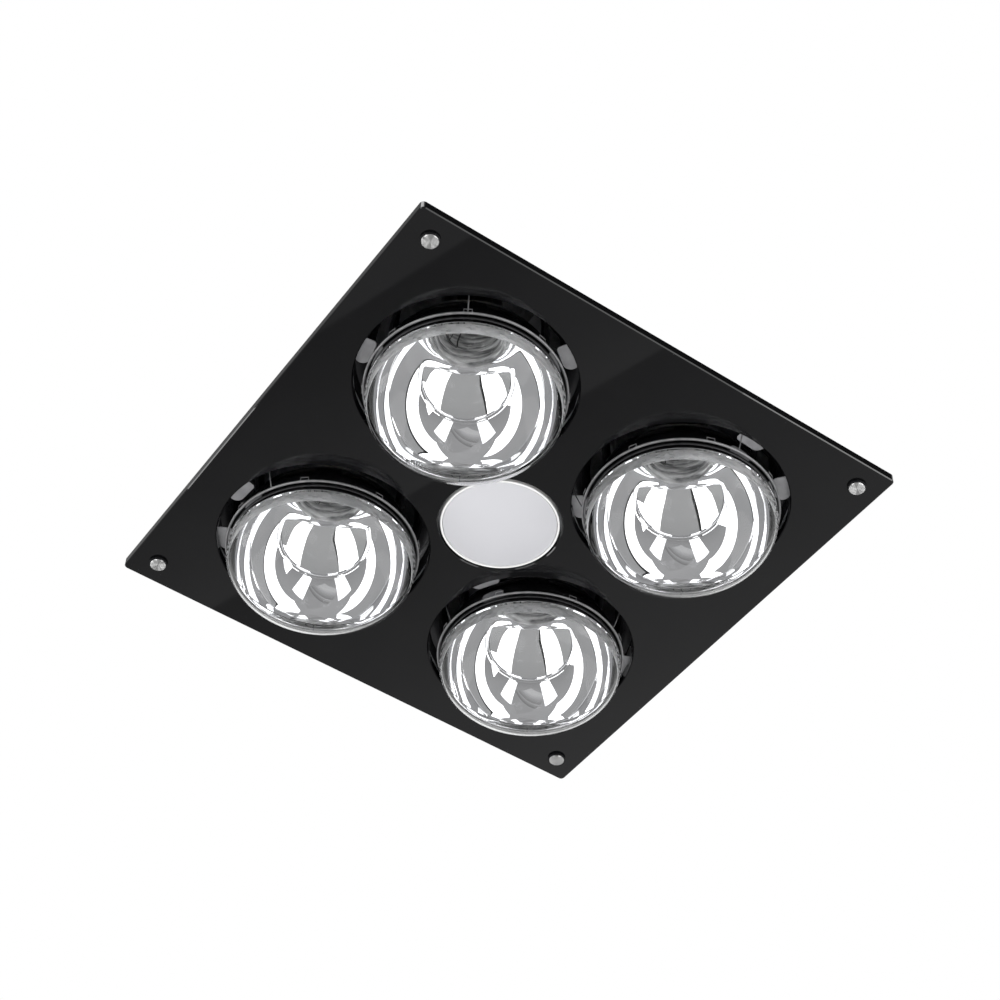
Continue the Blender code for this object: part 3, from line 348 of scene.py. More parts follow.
def add_tube(shape, path, radius, sides):
    """A round wire along points, with closed ends."""
    points = [Vector(point) for point in path]
    rings = []
    side = None
    for i, point in enumerate(points):
        ahead = (points[min(i + 1, len(points) - 1)] - points[max(i - 1, 0)]).normalized()
        if side is None:
            side = ahead.orthogonal().normalized()
        side = (side - ahead * side.dot(ahead)).normalized()
        other = ahead.cross(side)
        rings.append([
            shape.verts.new(point + radius * (cos(tau * k / sides) * side + sin(tau * k / sides) * other))
            for k in range(sides)
        ])
    for first, second in zip(rings, rings[1:]):
        bridge(shape, first, second)
    shape.faces.new(rings[0][::-1])
    shape.faces.new(rings[-1])


def rounded_oblong(half_x, half_y, corner, centre=(0, 0), steps=6):
    """Points round an oblong with rounded corners."""
    points = []
    for i, (x, y) in enumerate(SQUARE):
        for step in range(steps + 1):
            turn = (i + step / steps) * pi / 2
            points.append((
                centre[0] + x * (half_x - corner) + corner * cos(turn),
                centre[1] + y * (half_y - corner) + corner * sin(turn),
            ))
    return points


def rounded_square(half, corner):
    return rounded_oblong(half, half, corner, steps=10)


def eased_plate(name, loops, low, high, arris):
    """A flat plate with flat arrises: each loop is a pair, its full line and the line of its flat faces."""
    shape = bmesh.new()
    flats = []
    for wide, eased in loops:
        levels = ((eased, low), (wide, low + arris), (wide, high - arris), (eased, high))
        rows = [[shape.verts.new((x, y, height)) for x, y in line] for line, height in levels]
        for first, second in zip(rows, rows[1:]):
            bridge(shape, first, second)
        flats.append((rows[0], rows[-1]))
    for side in (0, 1):
        rims = [pair[side] for pair in flats]
        verts = [vert for rim in rims for vert in rim]
        for triangle in tessellate_polygon([[vert.co for vert in rim] for rim in rims]):
            shape.faces.new([verts[i] for i in triangle])
    return mesh_from(shape, name, radians(20))


# Glass fascia

HOLE_R = 0.071
LIGHT_HOLE_R = 0.041
STUD_HOLE_R = 0.003
GLASS_CORNER = 0.003
GLASS_ARRIS = 0.0006


def make_fascia():
    """Gloss black plate with flat polished arrises round its outline and holes."""
    eased = rounded_square(GLASS_HALF - GLASS_ARRIS, GLASS_CORNER - GLASS_ARRIS)
    loops = [(rounded_square(GLASS_HALF, GLASS_CORNER), eased)]
    holes = [(HOLE_R, 128, (spot.x, spot.y)) for spot in LAMP_SPOTS.values()]
    holes.append((LIGHT_HOLE_R, 128, (0, 0)))
    holes += [(STUD_HOLE_R, 32, (spot.x, spot.y)) for spot in STUD_SPOTS.values()]
    for radius, steps, centre in holes:
        loops.append((ring(radius, steps, centre), ring(radius + GLASS_ARRIS, steps, centre)))
    mesh = eased_plate("glass_plate", loops, FRONT_Z, GLASS_BACK_Z, GLASS_ARRIS)
    new_piece("glass_plate", mesh, "black_glass", "fascia", ["fascia_glass"])


NUT_LOW, NUT_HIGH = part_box("fascia_button_1")
NUT_R = 0.0053
NUT_DISH = 0.0004
NUT_EASE = 0.0005
NUT_FLOOR = 0.0007
COLLAR_R = 0.0062
COLLAR_GAP = 0.0001
BORE_R = 0.0023


def nut_outline():
    """Turned cap nut: dished face, rounded rim, straight side and blind bore."""
    face, back = NUT_LOW.z, NUT_HIGH.z
    outline = [(0, face + NUT_DISH), (NUT_R * 0.5, face + NUT_DISH * 0.52), (NUT_R - NUT_EASE, face)]
    for i in range(1, 7):
        turn = pi / 2 * i / 6
        outline.append((NUT_R - NUT_EASE * (1 - sin(turn)), face + NUT_EASE * (1 - cos(turn))))
    outline += [(NUT_R, back), (BORE_R, back), (BORE_R, face + NUT_FLOOR), (0, face + NUT_FLOOR)]
    return outline


def make_buttons():
    """A dished steel cap nut at each corner, seated in a thin black collar."""
    face, back = NUT_LOW.z, NUT_HIGH.z
    inner = NUT_R + COLLAR_GAP
    collar = [
        (inner, face + 0.0006), (inner + 0.0003, face + 0.0004), (COLLAR_R - 0.0003, face + 0.0006),
        (COLLAR_R, face + 0.0010), (COLLAR_R, back), (inner, back),
    ]
    for number, spot in STUD_SPOTS.items():
        place = (spot.x, spot.y, 0)
        body = f"button_{number}"
        name = f"cap_nut_{number}"
        mesh = lathe(name, nut_outline(), 96, radians(25))
        new_piece(name, mesh, "turned_steel", body, [f"fascia_button_{number}"], place)
        name = f"nut_collar_{number}"
        new_piece(name, lathe(name, collar, 64), "black_rubber", body, (), place)


# Lamps

LAMP_LOW, LAMP_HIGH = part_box("lamp_bulb_1")
CAP_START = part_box("lamp_cap_1")[0].z
LAMP_R = (LAMP_HIGH.x - LAMP_LOW.x) / 2
LAMP_WALL = 0.0012
FILM = 0.0002
BOWL_TALL = 0.068
BOWL_Z = LAMP_LOW.z + 0.0253            # level of the widest ring
BOWL_END = radians(58)
NECK_WIDE_R = 0.0225
NECK_FILLET = 0.010
NECK_LINE = ((0.0214, 0.0600), (0.0203, 0.0740), (0.0181, 0.0912), (0.0150, 0.0965), (0.0115, 0.1003))
NECK_IN_CAP = 0.006
SHOULDER_POWERS = (2.6, 2.1)
FRONT_STEPS, BOWL_STEPS, FILLET_STEPS = 40, 48, 10


def lamp_line(inset):
    """Line of the lamp from the front's middle to the neck, a given depth inside its outer face."""
    wide, front, tall = LAMP_R - inset, BOWL_Z - LAMP_LOW.z - inset, BOWL_TALL - inset
    across, along = SHOULDER_POWERS
    line = []
    for i in range(FRONT_STEPS):
        share = sin(pi / 2 * i / FRONT_STEPS)
        line.append((wide * share, BOWL_Z - front * (1 - share**across) ** (1 / along)))
    for i in range(BOWL_STEPS + 1):
        turn = BOWL_END * i / BOWL_STEPS
        line.append((wide * cos(turn), BOWL_Z + tall * sin(turn)))
    start = line[-1]
    slope = -tall * cos(BOWL_END) / (wide * sin(BOWL_END))
    neck = NECK_WIDE_R - inset
    knee = start[1] + slope * (neck - start[0])
    for i in range(1, FILLET_STEPS + 1):
        t = i / FILLET_STEPS
        radius = (1 - t) ** 2 * start[0] + (1 - (1 - t) ** 2) * neck
        height = (1 - t) ** 2 * start[1] + 2 * t * (1 - t) * knee + t**2 * (knee + NECK_FILLET)
        line.append((radius, height))
    last = line[-1]
    line += smooth_line([last, *((radius - inset, height) for radius, height in NECK_LINE)], 4)[1:]
    line.append((NECK_LINE[-1][0] - inset, CAP_START + NECK_IN_CAP))
    return line


LAMP_OUTER, LAMP_COAT, LAMP_INNER, LAMP_FILM, LAMP_LIP = (
    lamp_line(inset) for inset in (0.0, LAMP_WALL / 2, LAMP_WALL, LAMP_WALL + FILM, LAMP_WALL + 2 * FILM)
)

# Places of rings along the line
WIDEST = FRONT_STEPS
SILVER_START = WIDEST + 2
# Start of the pale band, a painted reflection inside the shoulder.
PAINTED_BAND_START = WIDEST - 5
NECK_START = WIDEST + 53


def make_lamp_glass(number, spot):
    """Clear front, mirrored bowl and neck, their grey outer coat, and a pale band inside the shoulder: a
    painted reflection that stands in for the shoulder's internal reflection.
    """
    place = (spot.x, spot.y, 0)
    body = f"lamp_{number}"

    def shell(name, outer, inner, low, high, material, nodes=()):
        shape = bmesh.new()
        add_lathe(shape, outer[low:high] + inner[low:high][::-1], 128, closed=low > 0)
        new_piece(name, mesh_from(shape, name, radians(60)), material, body, nodes, place)

    edge, end = SILVER_START, len(LAMP_OUTER)
    bulb = [f"lamp_bulb_{number}"]
    shell(f"lamp_front_{number}", LAMP_OUTER, LAMP_INNER, 0, edge + 1, "clear_glass", bulb)
    shell(f"lamp_coat_{number}", LAMP_OUTER, LAMP_COAT, edge, end, "lamp_coat")
    shell(f"lamp_mirror_{number}", LAMP_COAT, LAMP_INNER, edge, NECK_START + 1, "lamp_mirror")
    shell(f"lamp_neck_{number}", LAMP_COAT, LAMP_INNER, NECK_START, end, "crinkled_silver")
    # The pale band is a painted reflection; the mirror lip lies behind it.
    shell(f"lamp_painted_band_{number}", LAMP_INNER, LAMP_FILM, PAINTED_BAND_START, edge, "lamp_painted_band")
    shell(f"lamp_lip_{number}", LAMP_FILM, LAMP_LIP, PAINTED_BAND_START, edge, "lamp_mirror")


FILAMENT_R = 0.0145
LEAD_WIRE, SUPPORT_WIRE, COIL_WIRE = 0.00055, 0.00032, 0.00020
SUPPORT_TURNS = (-150, -115, -65, -30)
COIL_R = 0.0008
COILS, COIL_STEPS = 46, 10


def make_filament(number, spot):
    """Glass stem, two lead wires, support wires and the coiled filament."""
    low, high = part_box("lamp_filament_1")
    level = low.z + COIL_R + 0.0001
    tip = high.z - 0.028
    body, place = f"lamp_{number}", (spot.x, spot.y, 0)
    stem = bmesh.new()
    add_lathe(stem, [
        (0, high.z), (0.0095, high.z), (0.0098, high.z - 0.002), (0.006, high.z - 0.009),
        (0.0042, high.z - 0.015), (0.0040, tip + 0.003), (0.0048, tip + 0.0012), (0.0040, tip), (0, tip),
    ], 32)
    name = f"lamp_stem_{number}"
    mesh = mesh_from(stem, name, radians(50))
    new_piece(name, mesh, "ceramic", body, [f"lamp_filament_{number}"], place)
    wires = bmesh.new()
    for side in (-1, 1):
        path = [(0.0022, tip + 0.001), (0.003, tip - 0.006), (FILAMENT_R, level + 0.006),
                (FILAMENT_R, level + 0.0004)]
        add_tube(wires, [(side * reach, 0, height) for reach, height in path], LEAD_WIRE, 8)
    for turn in SUPPORT_TURNS:
        angle = radians(turn)
        path = [(0.0015, tip + 0.001), (FILAMENT_R * 0.75, level + 0.010), (FILAMENT_R, level + 0.0006)]
        path = [(reach * cos(angle), reach * sin(angle), height) for reach, height in path]
        add_tube(wires, path, SUPPORT_WIRE, 6)
    coil = []
    for i in range(COILS * COIL_STEPS + 1):
        along = pi + pi * i / (COILS * COIL_STEPS)
        twist = tau * i / COIL_STEPS
        reach = FILAMENT_R + COIL_R * cos(twist)
        coil.append((reach * cos(along), reach * sin(along), level + COIL_R * sin(twist)))
    add_tube(wires, coil, COIL_WIRE, 5)
    name = f"lamp_wires_{number}"
    new_piece(name, mesh_from(wires, name, radians(60)), "tungsten", body, (), place)


def make_lamps():
    for number, spot in LAMP_SPOTS.items():
        make_lamp_glass(number, spot)
        make_filament(number, spot)


# Wells

WELL_LOW, WELL_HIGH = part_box("lamp_well_1")
WELL_WALL = 0.0008
WELL_LIP_R = (WELL_HIGH.x - WELL_LOW.x) / 2
WELL_R = 0.072
WELL_STEP_R = 0.064
WELL_THROAT_R = 0.046
WELL_STEP_Z = WELL_LOW.z + 0.013
WELL_THROAT_Z = WELL_LOW.z + 0.050
WELL_STEPS = 120
WELL_SLOTS = 6
SLOT_LOW, SLOT_HIGH = WELL_LOW.z + 0.024, WELL_LOW.z + 0.040
SLOT_HALF_STEPS = 6


def well_profile():
    """Middle line of the cup's sheet from the lip to the throat."""
    ease = 0.0015
    profile = [(WELL_LIP_R, WELL_LOW.z), (WELL_R, WELL_LOW.z), (WELL_R, WELL_STEP_Z - ease)]
    for i in range(1, 6):
        turn = pi / 2 * i / 5
        profile.append((WELL_R - ease + ease * cos(turn), WELL_STEP_Z - ease + ease * sin(turn)))
    profile += [(WELL_STEP_R + 0.001, WELL_STEP_Z + 0.0018), (WELL_STEP_R, WELL_STEP_Z + 0.0030)]
    start = WELL_STEP_Z + 0.002
    for height in (SLOT_LOW, SLOT_HIGH, WELL_THROAT_Z):
        share = (height - start) / (WELL_THROAT_Z - start)
        profile.append((WELL_STEP_R + (WELL_THROAT_R - WELL_STEP_R) * share, height))
    return profile


def make_well_cup(number, place):
    """Dark cup with a rolled step, air slots and an open throat."""
    shape = bmesh.new()
    rows = [
        [shape.verts.new((x, y, height)) for x, y in ring(radius, WELL_STEPS)]
        for radius, height in well_profile()
    ]
    slot_row = len(rows) - 3
    for row in range(len(rows) - 1):
        for i in range(WELL_STEPS):
            near = (i + SLOT_HALF_STEPS) % (WELL_STEPS // WELL_SLOTS)
            if row == slot_row and near < 2 * SLOT_HALF_STEPS:
                continue
            j = (i + 1) % WELL_STEPS
            shape.faces.new((rows[row][i], rows[row][j], rows[row + 1][j], rows[row + 1][i]))
    name = f"well_cup_{number}"
    mesh = mesh_from(shape, name, radians(35))
    item = new_piece(name, mesh, "black_steel", "housing", [f"lamp_well_{number}"], place)
    thick = item.modifiers.new("Solidify", "SOLIDIFY")
    thick.thickness = WELL_WALL
    thick.offset = 0


TAB_TURNS = {1: (262, 30, 139), 2: (235, 357, 38), 3: (65, 185, 305), 4: (281, 241, 161)}
TAB_MIRROR_TURN = 147.3                  # the line across which the tongues change their way round
TAB_IN_R, TAB_OUT_R = 0.0614, 0.0712
TAB_SLANT = 0.0016
TAB_Z = -0.0012
TAB_SHEET = 0.0006
TAB_SPAN = radians(17)
ROOT_SPAN = radians(7)
ROOT_RISE = 0.0075


def tab_outline():
    """Flat tongue as (radius, turn) points: square where it joins the wall, round at its free end."""
    half = (TAB_OUT_R - TAB_IN_R) / 2
    centre = (TAB_OUT_R + TAB_IN_R) / 2
    points = [(TAB_OUT_R, 0.0), (TAB_IN_R + TAB_SLANT, 0.0), (TAB_IN_R, TAB_SLANT / centre)]
    for i in range(13):
        angle = -pi / 2 + pi * i / 12
        points.append((centre + half * sin(angle), TAB_SPAN - half / centre * (1 - cos(angle))))
    return points


def add_tab(shape, turn, way):
    """A flat spring tongue round the lamp, with a root that stands up along the well's wall."""

    def row(points, height):
        return [
            shape.verts.new((radius * cos(turn + way * along), radius * sin(turn + way * along), height))
            for radius, along in points
        ]

    under, over = (row(tab_outline(), height) for height in (TAB_Z, TAB_Z + TAB_SHEET))
    shape.faces.new(under)
    shape.faces.new(over[::-1])
    bridge(shape, under, over)
    spans = (0, ROOT_SPAN / 3, 2 * ROOT_SPAN / 3, ROOT_SPAN)
    inner, outer = (
        [row([(radius, along) for along in spans], height)
         for height in (TAB_Z + TAB_SHEET * 0.5, WELL_LOW.z + ROOT_RISE)]
        for radius in (TAB_OUT_R - TAB_SHEET, TAB_OUT_R)
    )
    for low, high in (inner, outer):
        bridge(shape, low, high, closed=False)
    for near, far in zip(inner, outer):
        bridge(shape, near, far, closed=False)
    for end in (0, 3):
        shape.faces.new((inner[0][end], inner[1][end], outer[1][end], outer[0][end]))


def make_well_tabs(number, place):
    """Spring tongues that steady the lamp, their free ends away from the photograph's camera."""
    shape = bmesh.new()
    for degrees in TAB_TURNS[number]:
        add_tab(shape, radians(degrees), 1 if sin(radians(degrees - TAB_MIRROR_TURN)) < 0 else -1)
    name = f"well_tabs_{number}"
    new_piece(name, mesh_from(shape, name), "tab_steel", "housing", (), place)


RING_R = 0.0636
RING_Z = -0.0160
RING_WIRE = 0.0009
CLIP_WIRE = 0.0003
CLIP_HALF = 0.0026
CLIP_REACH = 0.0011
CLIP_TURNS = range(0, 360, 45)
STAY_WIRE = CLIP_WIRE * 1.3
STAY_TURNS = (57, 177, 297)


def make_guard_ring(number, place):
    """Steel wire ring behind the widest part of the lamp, with wire clips, on three stays from the well."""
    shape = bmesh.new()
    add_lathe(shape, [(RING_R + x, RING_Z + y) for x, y in ring(RING_WIRE, 12)], 128)
    out, low, high = RING_R + CLIP_REACH, RING_Z - 0.0008, RING_Z + 0.0024
    clip = [
        (RING_R, -CLIP_HALF, low), (out, -CLIP_HALF, low + 0.0006), (out, -CLIP_HALF, high),
        (out, CLIP_HALF, high), (out, CLIP_HALF, low + 0.0006), (RING_R, CLIP_HALF, low),
    ]
    stay = [
        (RING_R, 0, RING_Z + 0.0004), (RING_R + 0.0024, 0, RING_Z + 0.0060),
        (RING_R + 0.0050, 0, RING_Z + 0.0130), (WELL_R - 0.0012, 0, WELL_LOW.z + 0.0030),
        (WELL_R - 0.0009, 0, WELL_LOW.z + 0.0070),
    ]
    for turns, start, path, wire in (
        (CLIP_TURNS, 12 * number, clip, CLIP_WIRE), (STAY_TURNS, 30 * number, stay, STAY_WIRE),
    ):
        for turn in turns:
            spin = Matrix.Rotation(radians(turn + start), 4, "Z")
            add_tube(shape, [spin @ Vector(point) for point in path], wire, 6)
    name = f"guard_ring_{number}"
    new_piece(name, mesh_from(shape, name, radians(50)), "bright_wire", "housing", (), place)


def make_wells():
    for number, spot in LAMP_SPOTS.items():
        place = (spot.x, spot.y, 0)
        make_well_cup(number, place)
        make_well_tabs(number, place)
        make_guard_ring(number, place)


# Round light

LIGHT_RIM_WIDE = 0.0014
LIGHT_LIP_WIDE = 0.005
LIGHT_LIP_Z = -0.0014
COVER_GAP = 0.0003
COVER_BACK_Z = -0.0017


def make_light():
    """White rim with a lip behind, and the opal cover inside it."""
    low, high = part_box("led_ring")
    radius = (high.x - low.x) / 2
    front = low.z
    inner = radius - LIGHT_RIM_WIDE
    lip = inner - LIGHT_LIP_WIDE
    mesh = lathe("light_rim", [
        (radius, 0), (radius, front + 0.0004), (radius - 0.0002, front + 0.0001), (radius - 0.0005, front),
        (inner + 0.0003, front), (inner + 0.0001, front + 0.0001), (inner, front + 0.0003),
        (inner, LIGHT_LIP_Z), (lip, LIGHT_LIP_Z), (lip, 0),
    ], 128)
    new_piece("light_rim", mesh, "white_plastic", "housing", ["led_ring"])
    cover = inner - COVER_GAP
    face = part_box("led_diffuser")[0].z
    mesh = lathe("light_cover", [
        (0, face), (cover - 0.0006, face), (cover - 0.0002, face + 0.0002), (cover, face + 0.0006),
        (cover, COVER_BACK_Z), (cover - 0.0015, COVER_BACK_Z), (cover - 0.0015, face + 0.002),
        (0, face + 0.002),
    ], 128)
    new_piece("light_cover", mesh, "opal", "housing", ["led_diffuser"])


# Outside of the housing

SHELL_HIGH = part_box("housing_shell")[1]
SKIN = SHELL_HIGH.x + 0.00005
TRIM_SHEET = 0.0007
SKIRT_FACE = 0.165
STRAP_WIDE = 0.014
STRAP_BEND = 0.0018
STRAP_BOTTOM, STRAP_TOP = 0.0275, 0.1722
STRAP_RIVETS = 6
RIM_BOTTOM = 0.1732
RIM_CORNER = 0.0011
RIM_ARRIS = 0.0002
RIM_SCREW_Z = 0.1767
SKIRT_RIVET_Z = 0.0205
RIM_SCREW_PLACES = (-0.115, -0.040, 0.040, 0.115)
SKIRT_RIVET_PLACES = (-0.140, -0.098, -0.062, 0.062, 0.098, 0.140)
STRAP_RIVET_INSET, STRAP_RIVET_END = 0.0085, 0.010

# Pressed beads: length, half width and height
SIDE_BEAD = (0.220, 0.0045, 0.0014)
SIDE_BEAD_LEVELS = (0.060, 0.100, 0.140)
ROOF_BEADS = ((0.030, -0.020, 0.220), (0.030, 0.025, 0.220), (0.045, -0.080, 0.150), (0.0, 0.140, 0.240))
ROOF_BEAD_SECTION = (0.0050, 0.0012)
BEAD_SINK = 0.0002

# Shapes of heads in shares of their radius and height
PAN_HEAD = ((0, 0.45), (0.36, 0.45), (0.42, 1.0), (0.62, 0.97), (0.85, 0.75), (1.0, 0.30), (1.0, 0), (0, 0))
DOME_HEAD = ((0, 1.0), (0.5, 0.87), (0.87, 0.5), (1.0, 0), (0, 0))

# Screw and rivet heads: radius, height and, where it isn't a pan head, the shape
STRAP_RIVET = (0.0019, 0.0008, DOME_HEAD)
SKIRT_RIVET = (0.0018, 0.0006, DOME_HEAD)
SPIGOT_PIN = (0.0034, 0.0007, DOME_HEAD)
RIM_SCREW = (0.0022, 0.0014)
SPIGOT_SCREW = (0.0024, 0.0016)
LID_SCREW = (0.0026, 0.0008)
FOOT_SCREW = (0.0026, 0.0016)


def facing(spot, normal):
    """A placement whose +Z points along the normal."""
    return Matrix.Translation(spot) @ Vector(normal).to_track_quat("Z", "Y").to_matrix().to_4x4()


def add_head(shape, spot, normal, radius, tall, shares=PAN_HEAD):
    """A screw or rivet head that stands on a face."""
    profile = [(share * radius, rise * tall) for share, rise in shares]
    add_lathe(shape, profile, 20, turn=facing(spot, normal))


def add_bead(shape, spot, normal, along, length, half, tall):
    """A pressed stiffening bead: a long low swelling with round ends."""
    normal, along = Vector(normal), Vector(along)
    across = normal.cross(along)
    start = Vector(spot)
    reach = length / 2
    rows = []
    for i in range(33):
        place = -reach + (1 - cos(pi * i / 32)) * reach
        beyond = max(abs(place) - reach + half, 0) / half
        swell = sqrt(max(1 - beyond**2, 0.0001))
        line = start + along * place
        rows.append([
            shape.verts.new(line + across * (half * swell * x) + normal * (tall * swell * y))
            for x, y in ((cos(pi * k / 8), sin(pi * k / 8)) for k in range(9))
        ])
    for first, second in zip(rows, rows[1:]):
        bridge(shape, first, second, closed=False)


def eased_oblong(half_x, half_y, corner, arris, centre):
    return (
        rounded_oblong(half_x, half_y, corner, centre),
        rounded_oblong(half_x - arris, half_y - arris, corner - arris, centre),
    )


def add_prism(shape, line, low, high, turn):
    """A closed plan line raised into a solid."""
    rows = [[shape.verts.new(turn @ Vector((x, y, height))) for x, y in line] for height in (low, high)]
    shape.faces.new(rows[0][::-1])
    shape.faces.new(rows[1])
    bridge(shape, *rows)


def make_shell_trim():
    """Folded corner straps with rivets, the lid's turned-down rim with its screws, and pressed beads."""
    straps, heads, beads = bmesh.new(), bmesh.new(), bmesh.new()
    out, low = SKIN + TRIM_SHEET, SKIN - STRAP_WIDE
    line = [(low, SKIN), (SKIN, SKIN), (SKIN, low), (out, low)]
    for i in range(7):
        turn = pi / 2 * i / 6
        line.append((out - STRAP_BEND + STRAP_BEND * cos(turn), out - STRAP_BEND + STRAP_BEND * sin(turn)))
    line.append((low, out))
    rivet_step = (STRAP_TOP - STRAP_BOTTOM - 2 * STRAP_RIVET_END) / (STRAP_RIVETS - 1)
    for quarter in range(4):
        turn = Matrix.Rotation(quarter * pi / 2, 4, "Z")
        face = turn @ Vector((1, 0, 0))
        add_prism(straps, line, STRAP_BOTTOM, STRAP_TOP, turn)
        for i in range(STRAP_RIVETS):
            height = STRAP_BOTTOM + STRAP_RIVET_END + i * rivet_step
            for side in (-1, 1):
                spot = turn @ Vector((out, side * (SKIN - STRAP_RIVET_INSET), height))
                add_head(heads, spot, face, *STRAP_RIVET)
        for across in RIM_SCREW_PLACES:
            add_head(heads, turn @ Vector((out, across, RIM_SCREW_Z)), face, *RIM_SCREW)
        for across in SKIRT_RIVET_PLACES:
            add_head(heads, turn @ Vector((SKIRT_FACE, across, SKIRT_RIVET_Z)), face, *SKIRT_RIVET)
        if quarter:
            along = turn @ Vector((0, 1, 0))
            for height in SIDE_BEAD_LEVELS:
                add_bead(beads, turn @ Vector((SKIN - BEAD_SINK, 0, height)), face, along, *SIDE_BEAD)
    for x, y, length in ROOF_BEADS:
        spot = (x, y, SHELL_HIGH.z - BEAD_SINK)
        add_bead(beads, spot, (0, 0, 1), (1, 0, 0), length, *ROOF_BEAD_SECTION)
    for name, shape, material in (
        ("shell_straps", straps, "galvanised_steel"), ("shell_screws", heads, "zinc_screw"),
        ("shell_beads", beads, "galvanised_steel"),
    ):
        new_piece(name, mesh_from(shape, name), material, "housing")
    loops = [
        (rounded_square(out, STRAP_BEND), rounded_square(out - RIM_ARRIS, STRAP_BEND - RIM_ARRIS)),
        (rounded_square(SKIN, RIM_CORNER), rounded_square(SKIN + RIM_ARRIS, RIM_CORNER + RIM_ARRIS)),
    ]
    mesh = eased_plate("lid_rim", loops, RIM_BOTTOM, SHELL_HIGH.z + 0.0001, RIM_ARRIS)
    new_piece("lid_rim", mesh, "galvanised_steel", "housing")


SPIGOT_LOW, SPIGOT_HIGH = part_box("duct_spigot")
SPIGOT_LONG = SPIGOT_HIGH.x - SPIGOT_LOW.x
SPIGOT_R, SPIGOT_BORE_R, SPIGOT_FLANGE_R = 0.049, 0.0475, 0.058
SPIGOT_TUBE_R = 0.0483
SPIGOT_SHEET = 0.0020
BARB_STARTS = (0.0290, 0.0365, 0.0440)
GUSSETS = 12
GUSSET_HALF = 0.0006
SPIGOT_SCREW_R = 0.0536


def make_spigot():
    """Moulded duct outlet: flange with gussets and screws, tube with barbed ribs near its end."""
    profile = [
        (SPIGOT_BORE_R, 0), (0.0577, 0), (SPIGOT_FLANGE_R, 0.0003), (SPIGOT_FLANGE_R, 0.0017),
        (0.0577, SPIGOT_SHEET), (0.0492, SPIGOT_SHEET), (0.0486, 0.0024), (SPIGOT_TUBE_R, 0.0032),
    ]
    for start in BARB_STARTS:
        profile += [
            (SPIGOT_TUBE_R, start), (SPIGOT_R - 0.0001, start + 0.0005), (SPIGOT_R, start + 0.0008),
            (SPIGOT_R - 0.0001, start + 0.0014), (SPIGOT_TUBE_R, start + 0.0055),
        ]
    profile += [
        (SPIGOT_TUBE_R, SPIGOT_LONG - 0.0012), (0.0480, SPIGOT_LONG), (0.0477, SPIGOT_LONG),
        (SPIGOT_BORE_R, SPIGOT_LONG - 0.0003),
    ]
    middle_z = (SPIGOT_LOW.z + SPIGOT_HIGH.z) / 2
    turn = Matrix.Translation((SPIGOT_LOW.x, 0, middle_z)) @ Matrix.Rotation(pi / 2, 4, "Y")
    shape = bmesh.new()
    add_lathe(shape, profile, 128, turn=turn)
    gusset = [(0.0480, 0.0018), (0.0562, 0.0018), (0.0562, 0.0026), (0.0480, 0.0110)]
    for i in range(GUSSETS):
        spin = turn @ Matrix.Rotation(radians(15 + 30 * i), 4, "Z") @ Matrix.Rotation(pi / 2, 4, "X")
        add_prism(shape, gusset, -GUSSET_HALF, GUSSET_HALF, spin)
    for side in (-1, 1):
        spot = (SPIGOT_LOW.x + 0.007, 0, middle_z + side * SPIGOT_TUBE_R)
        add_head(shape, spot, (0, 0, side), *SPIGOT_PIN)
    mesh = mesh_from(shape, "spigot_tube")
    new_piece("spigot_tube", mesh, "black_plastic", "housing", ["duct_spigot"])
    screws = bmesh.new()
    reach = SPIGOT_SCREW_R * cos(pi / 4)
    for y, z in SQUARE:
        spot = (SPIGOT_LOW.x + SPIGOT_SHEET, y * reach, middle_z + z * reach)
        add_head(screws, spot, (1, 0, 0), *SPIGOT_SCREW)
    new_piece("spigot_screws", mesh_from(screws, "spigot_screws"), "zinc_screw", "housing")


def add_lids(parts, material, node):
    """Oblong pieces with eased edges, on the housing. The first of them stands for the CAD node."""
    for name, half_x, half_y, corner, bottom, level, arris, spot in parts:
        mesh = eased_plate(name, [eased_oblong(half_x, half_y, corner, arris, spot)], bottom, level, arris)
        nodes = [node] if name == parts[0][0] else ()
        new_piece(name, mesh, material, "housing", nodes)


LID_SCREW_INSET = 0.006
SUPPLY_FOOT_SHEET = 0.0020


def make_roof_pieces():
    """Terminal lid with its screws, and the light's supply on its feet."""
    low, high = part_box("terminal_cover")
    centre, half = (low + high) / 2, (high - low) / 2
    spot = (centre.x, centre.y)
    rim, top = high.z - 0.0025, high.z - 0.0008
    add_lids((
        ("terminal_lid", half.x, half.y, 0.0020, rim, top, 0.0006, spot),
        ("terminal_lid_lip", half.x - 0.0023, half.y - 0.0023, 0.0010, low.z, rim - 0.00005, 0.0003, spot),
        ("terminal_lid_panel", half.x - 0.013, half.y - 0.011, 0.0030, top - 0.0002, top + 0.0005, 0.0003,
         spot),
    ), "grey_plastic", "terminal_cover")
    heads = bmesh.new()
    reach = half - Vector((LID_SCREW_INSET, LID_SCREW_INSET, 0))
    for x, y in ((-1, -1), (-1, 1), (1, -1), (1, 1)):
        spot = (centre.x + x * reach.x, centre.y + y * reach.y, top)
        add_head(heads, spot, (0, 0, 1), *LID_SCREW)

    low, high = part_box("led_driver")
    centre, half = (low + high) / 2, (high - low) / 2
    spot, hood_spot = (centre.x, centre.y), (centre.x - half.x + 0.014, centre.y)
    add_lids((
        ("driver_case", half.x, half.y, 0.0050, low.z, high.z - 0.0004, 0.0014, spot),
        ("driver_hood", 0.0090, half.y - 0.0035, 0.0020, high.z - 0.0006, high.z, 0.0003, hood_spot),
    ), "white_plastic", "led_driver")
    feet = bmesh.new()
    top = low.z + SUPPLY_FOOT_SHEET
    for side in (-1, 1):
        line = rounded_oblong(0.0085, 0.0070, 0.0040, (centre.x + side * (half.x + 0.0040), centre.y))
        add_prism(feet, line, low.z, top, Matrix.Identity(4))
        spot = (centre.x + side * (half.x + 0.0070), centre.y, top)
        add_head(heads, spot, (0, 0, 1), *FOOT_SCREW)
    new_piece("driver_feet", mesh_from(feet, "driver_feet"), "white_plastic", "housing")
    new_piece("roof_screws", mesh_from(heads, "roof_screws"), "zinc_screw", "housing")


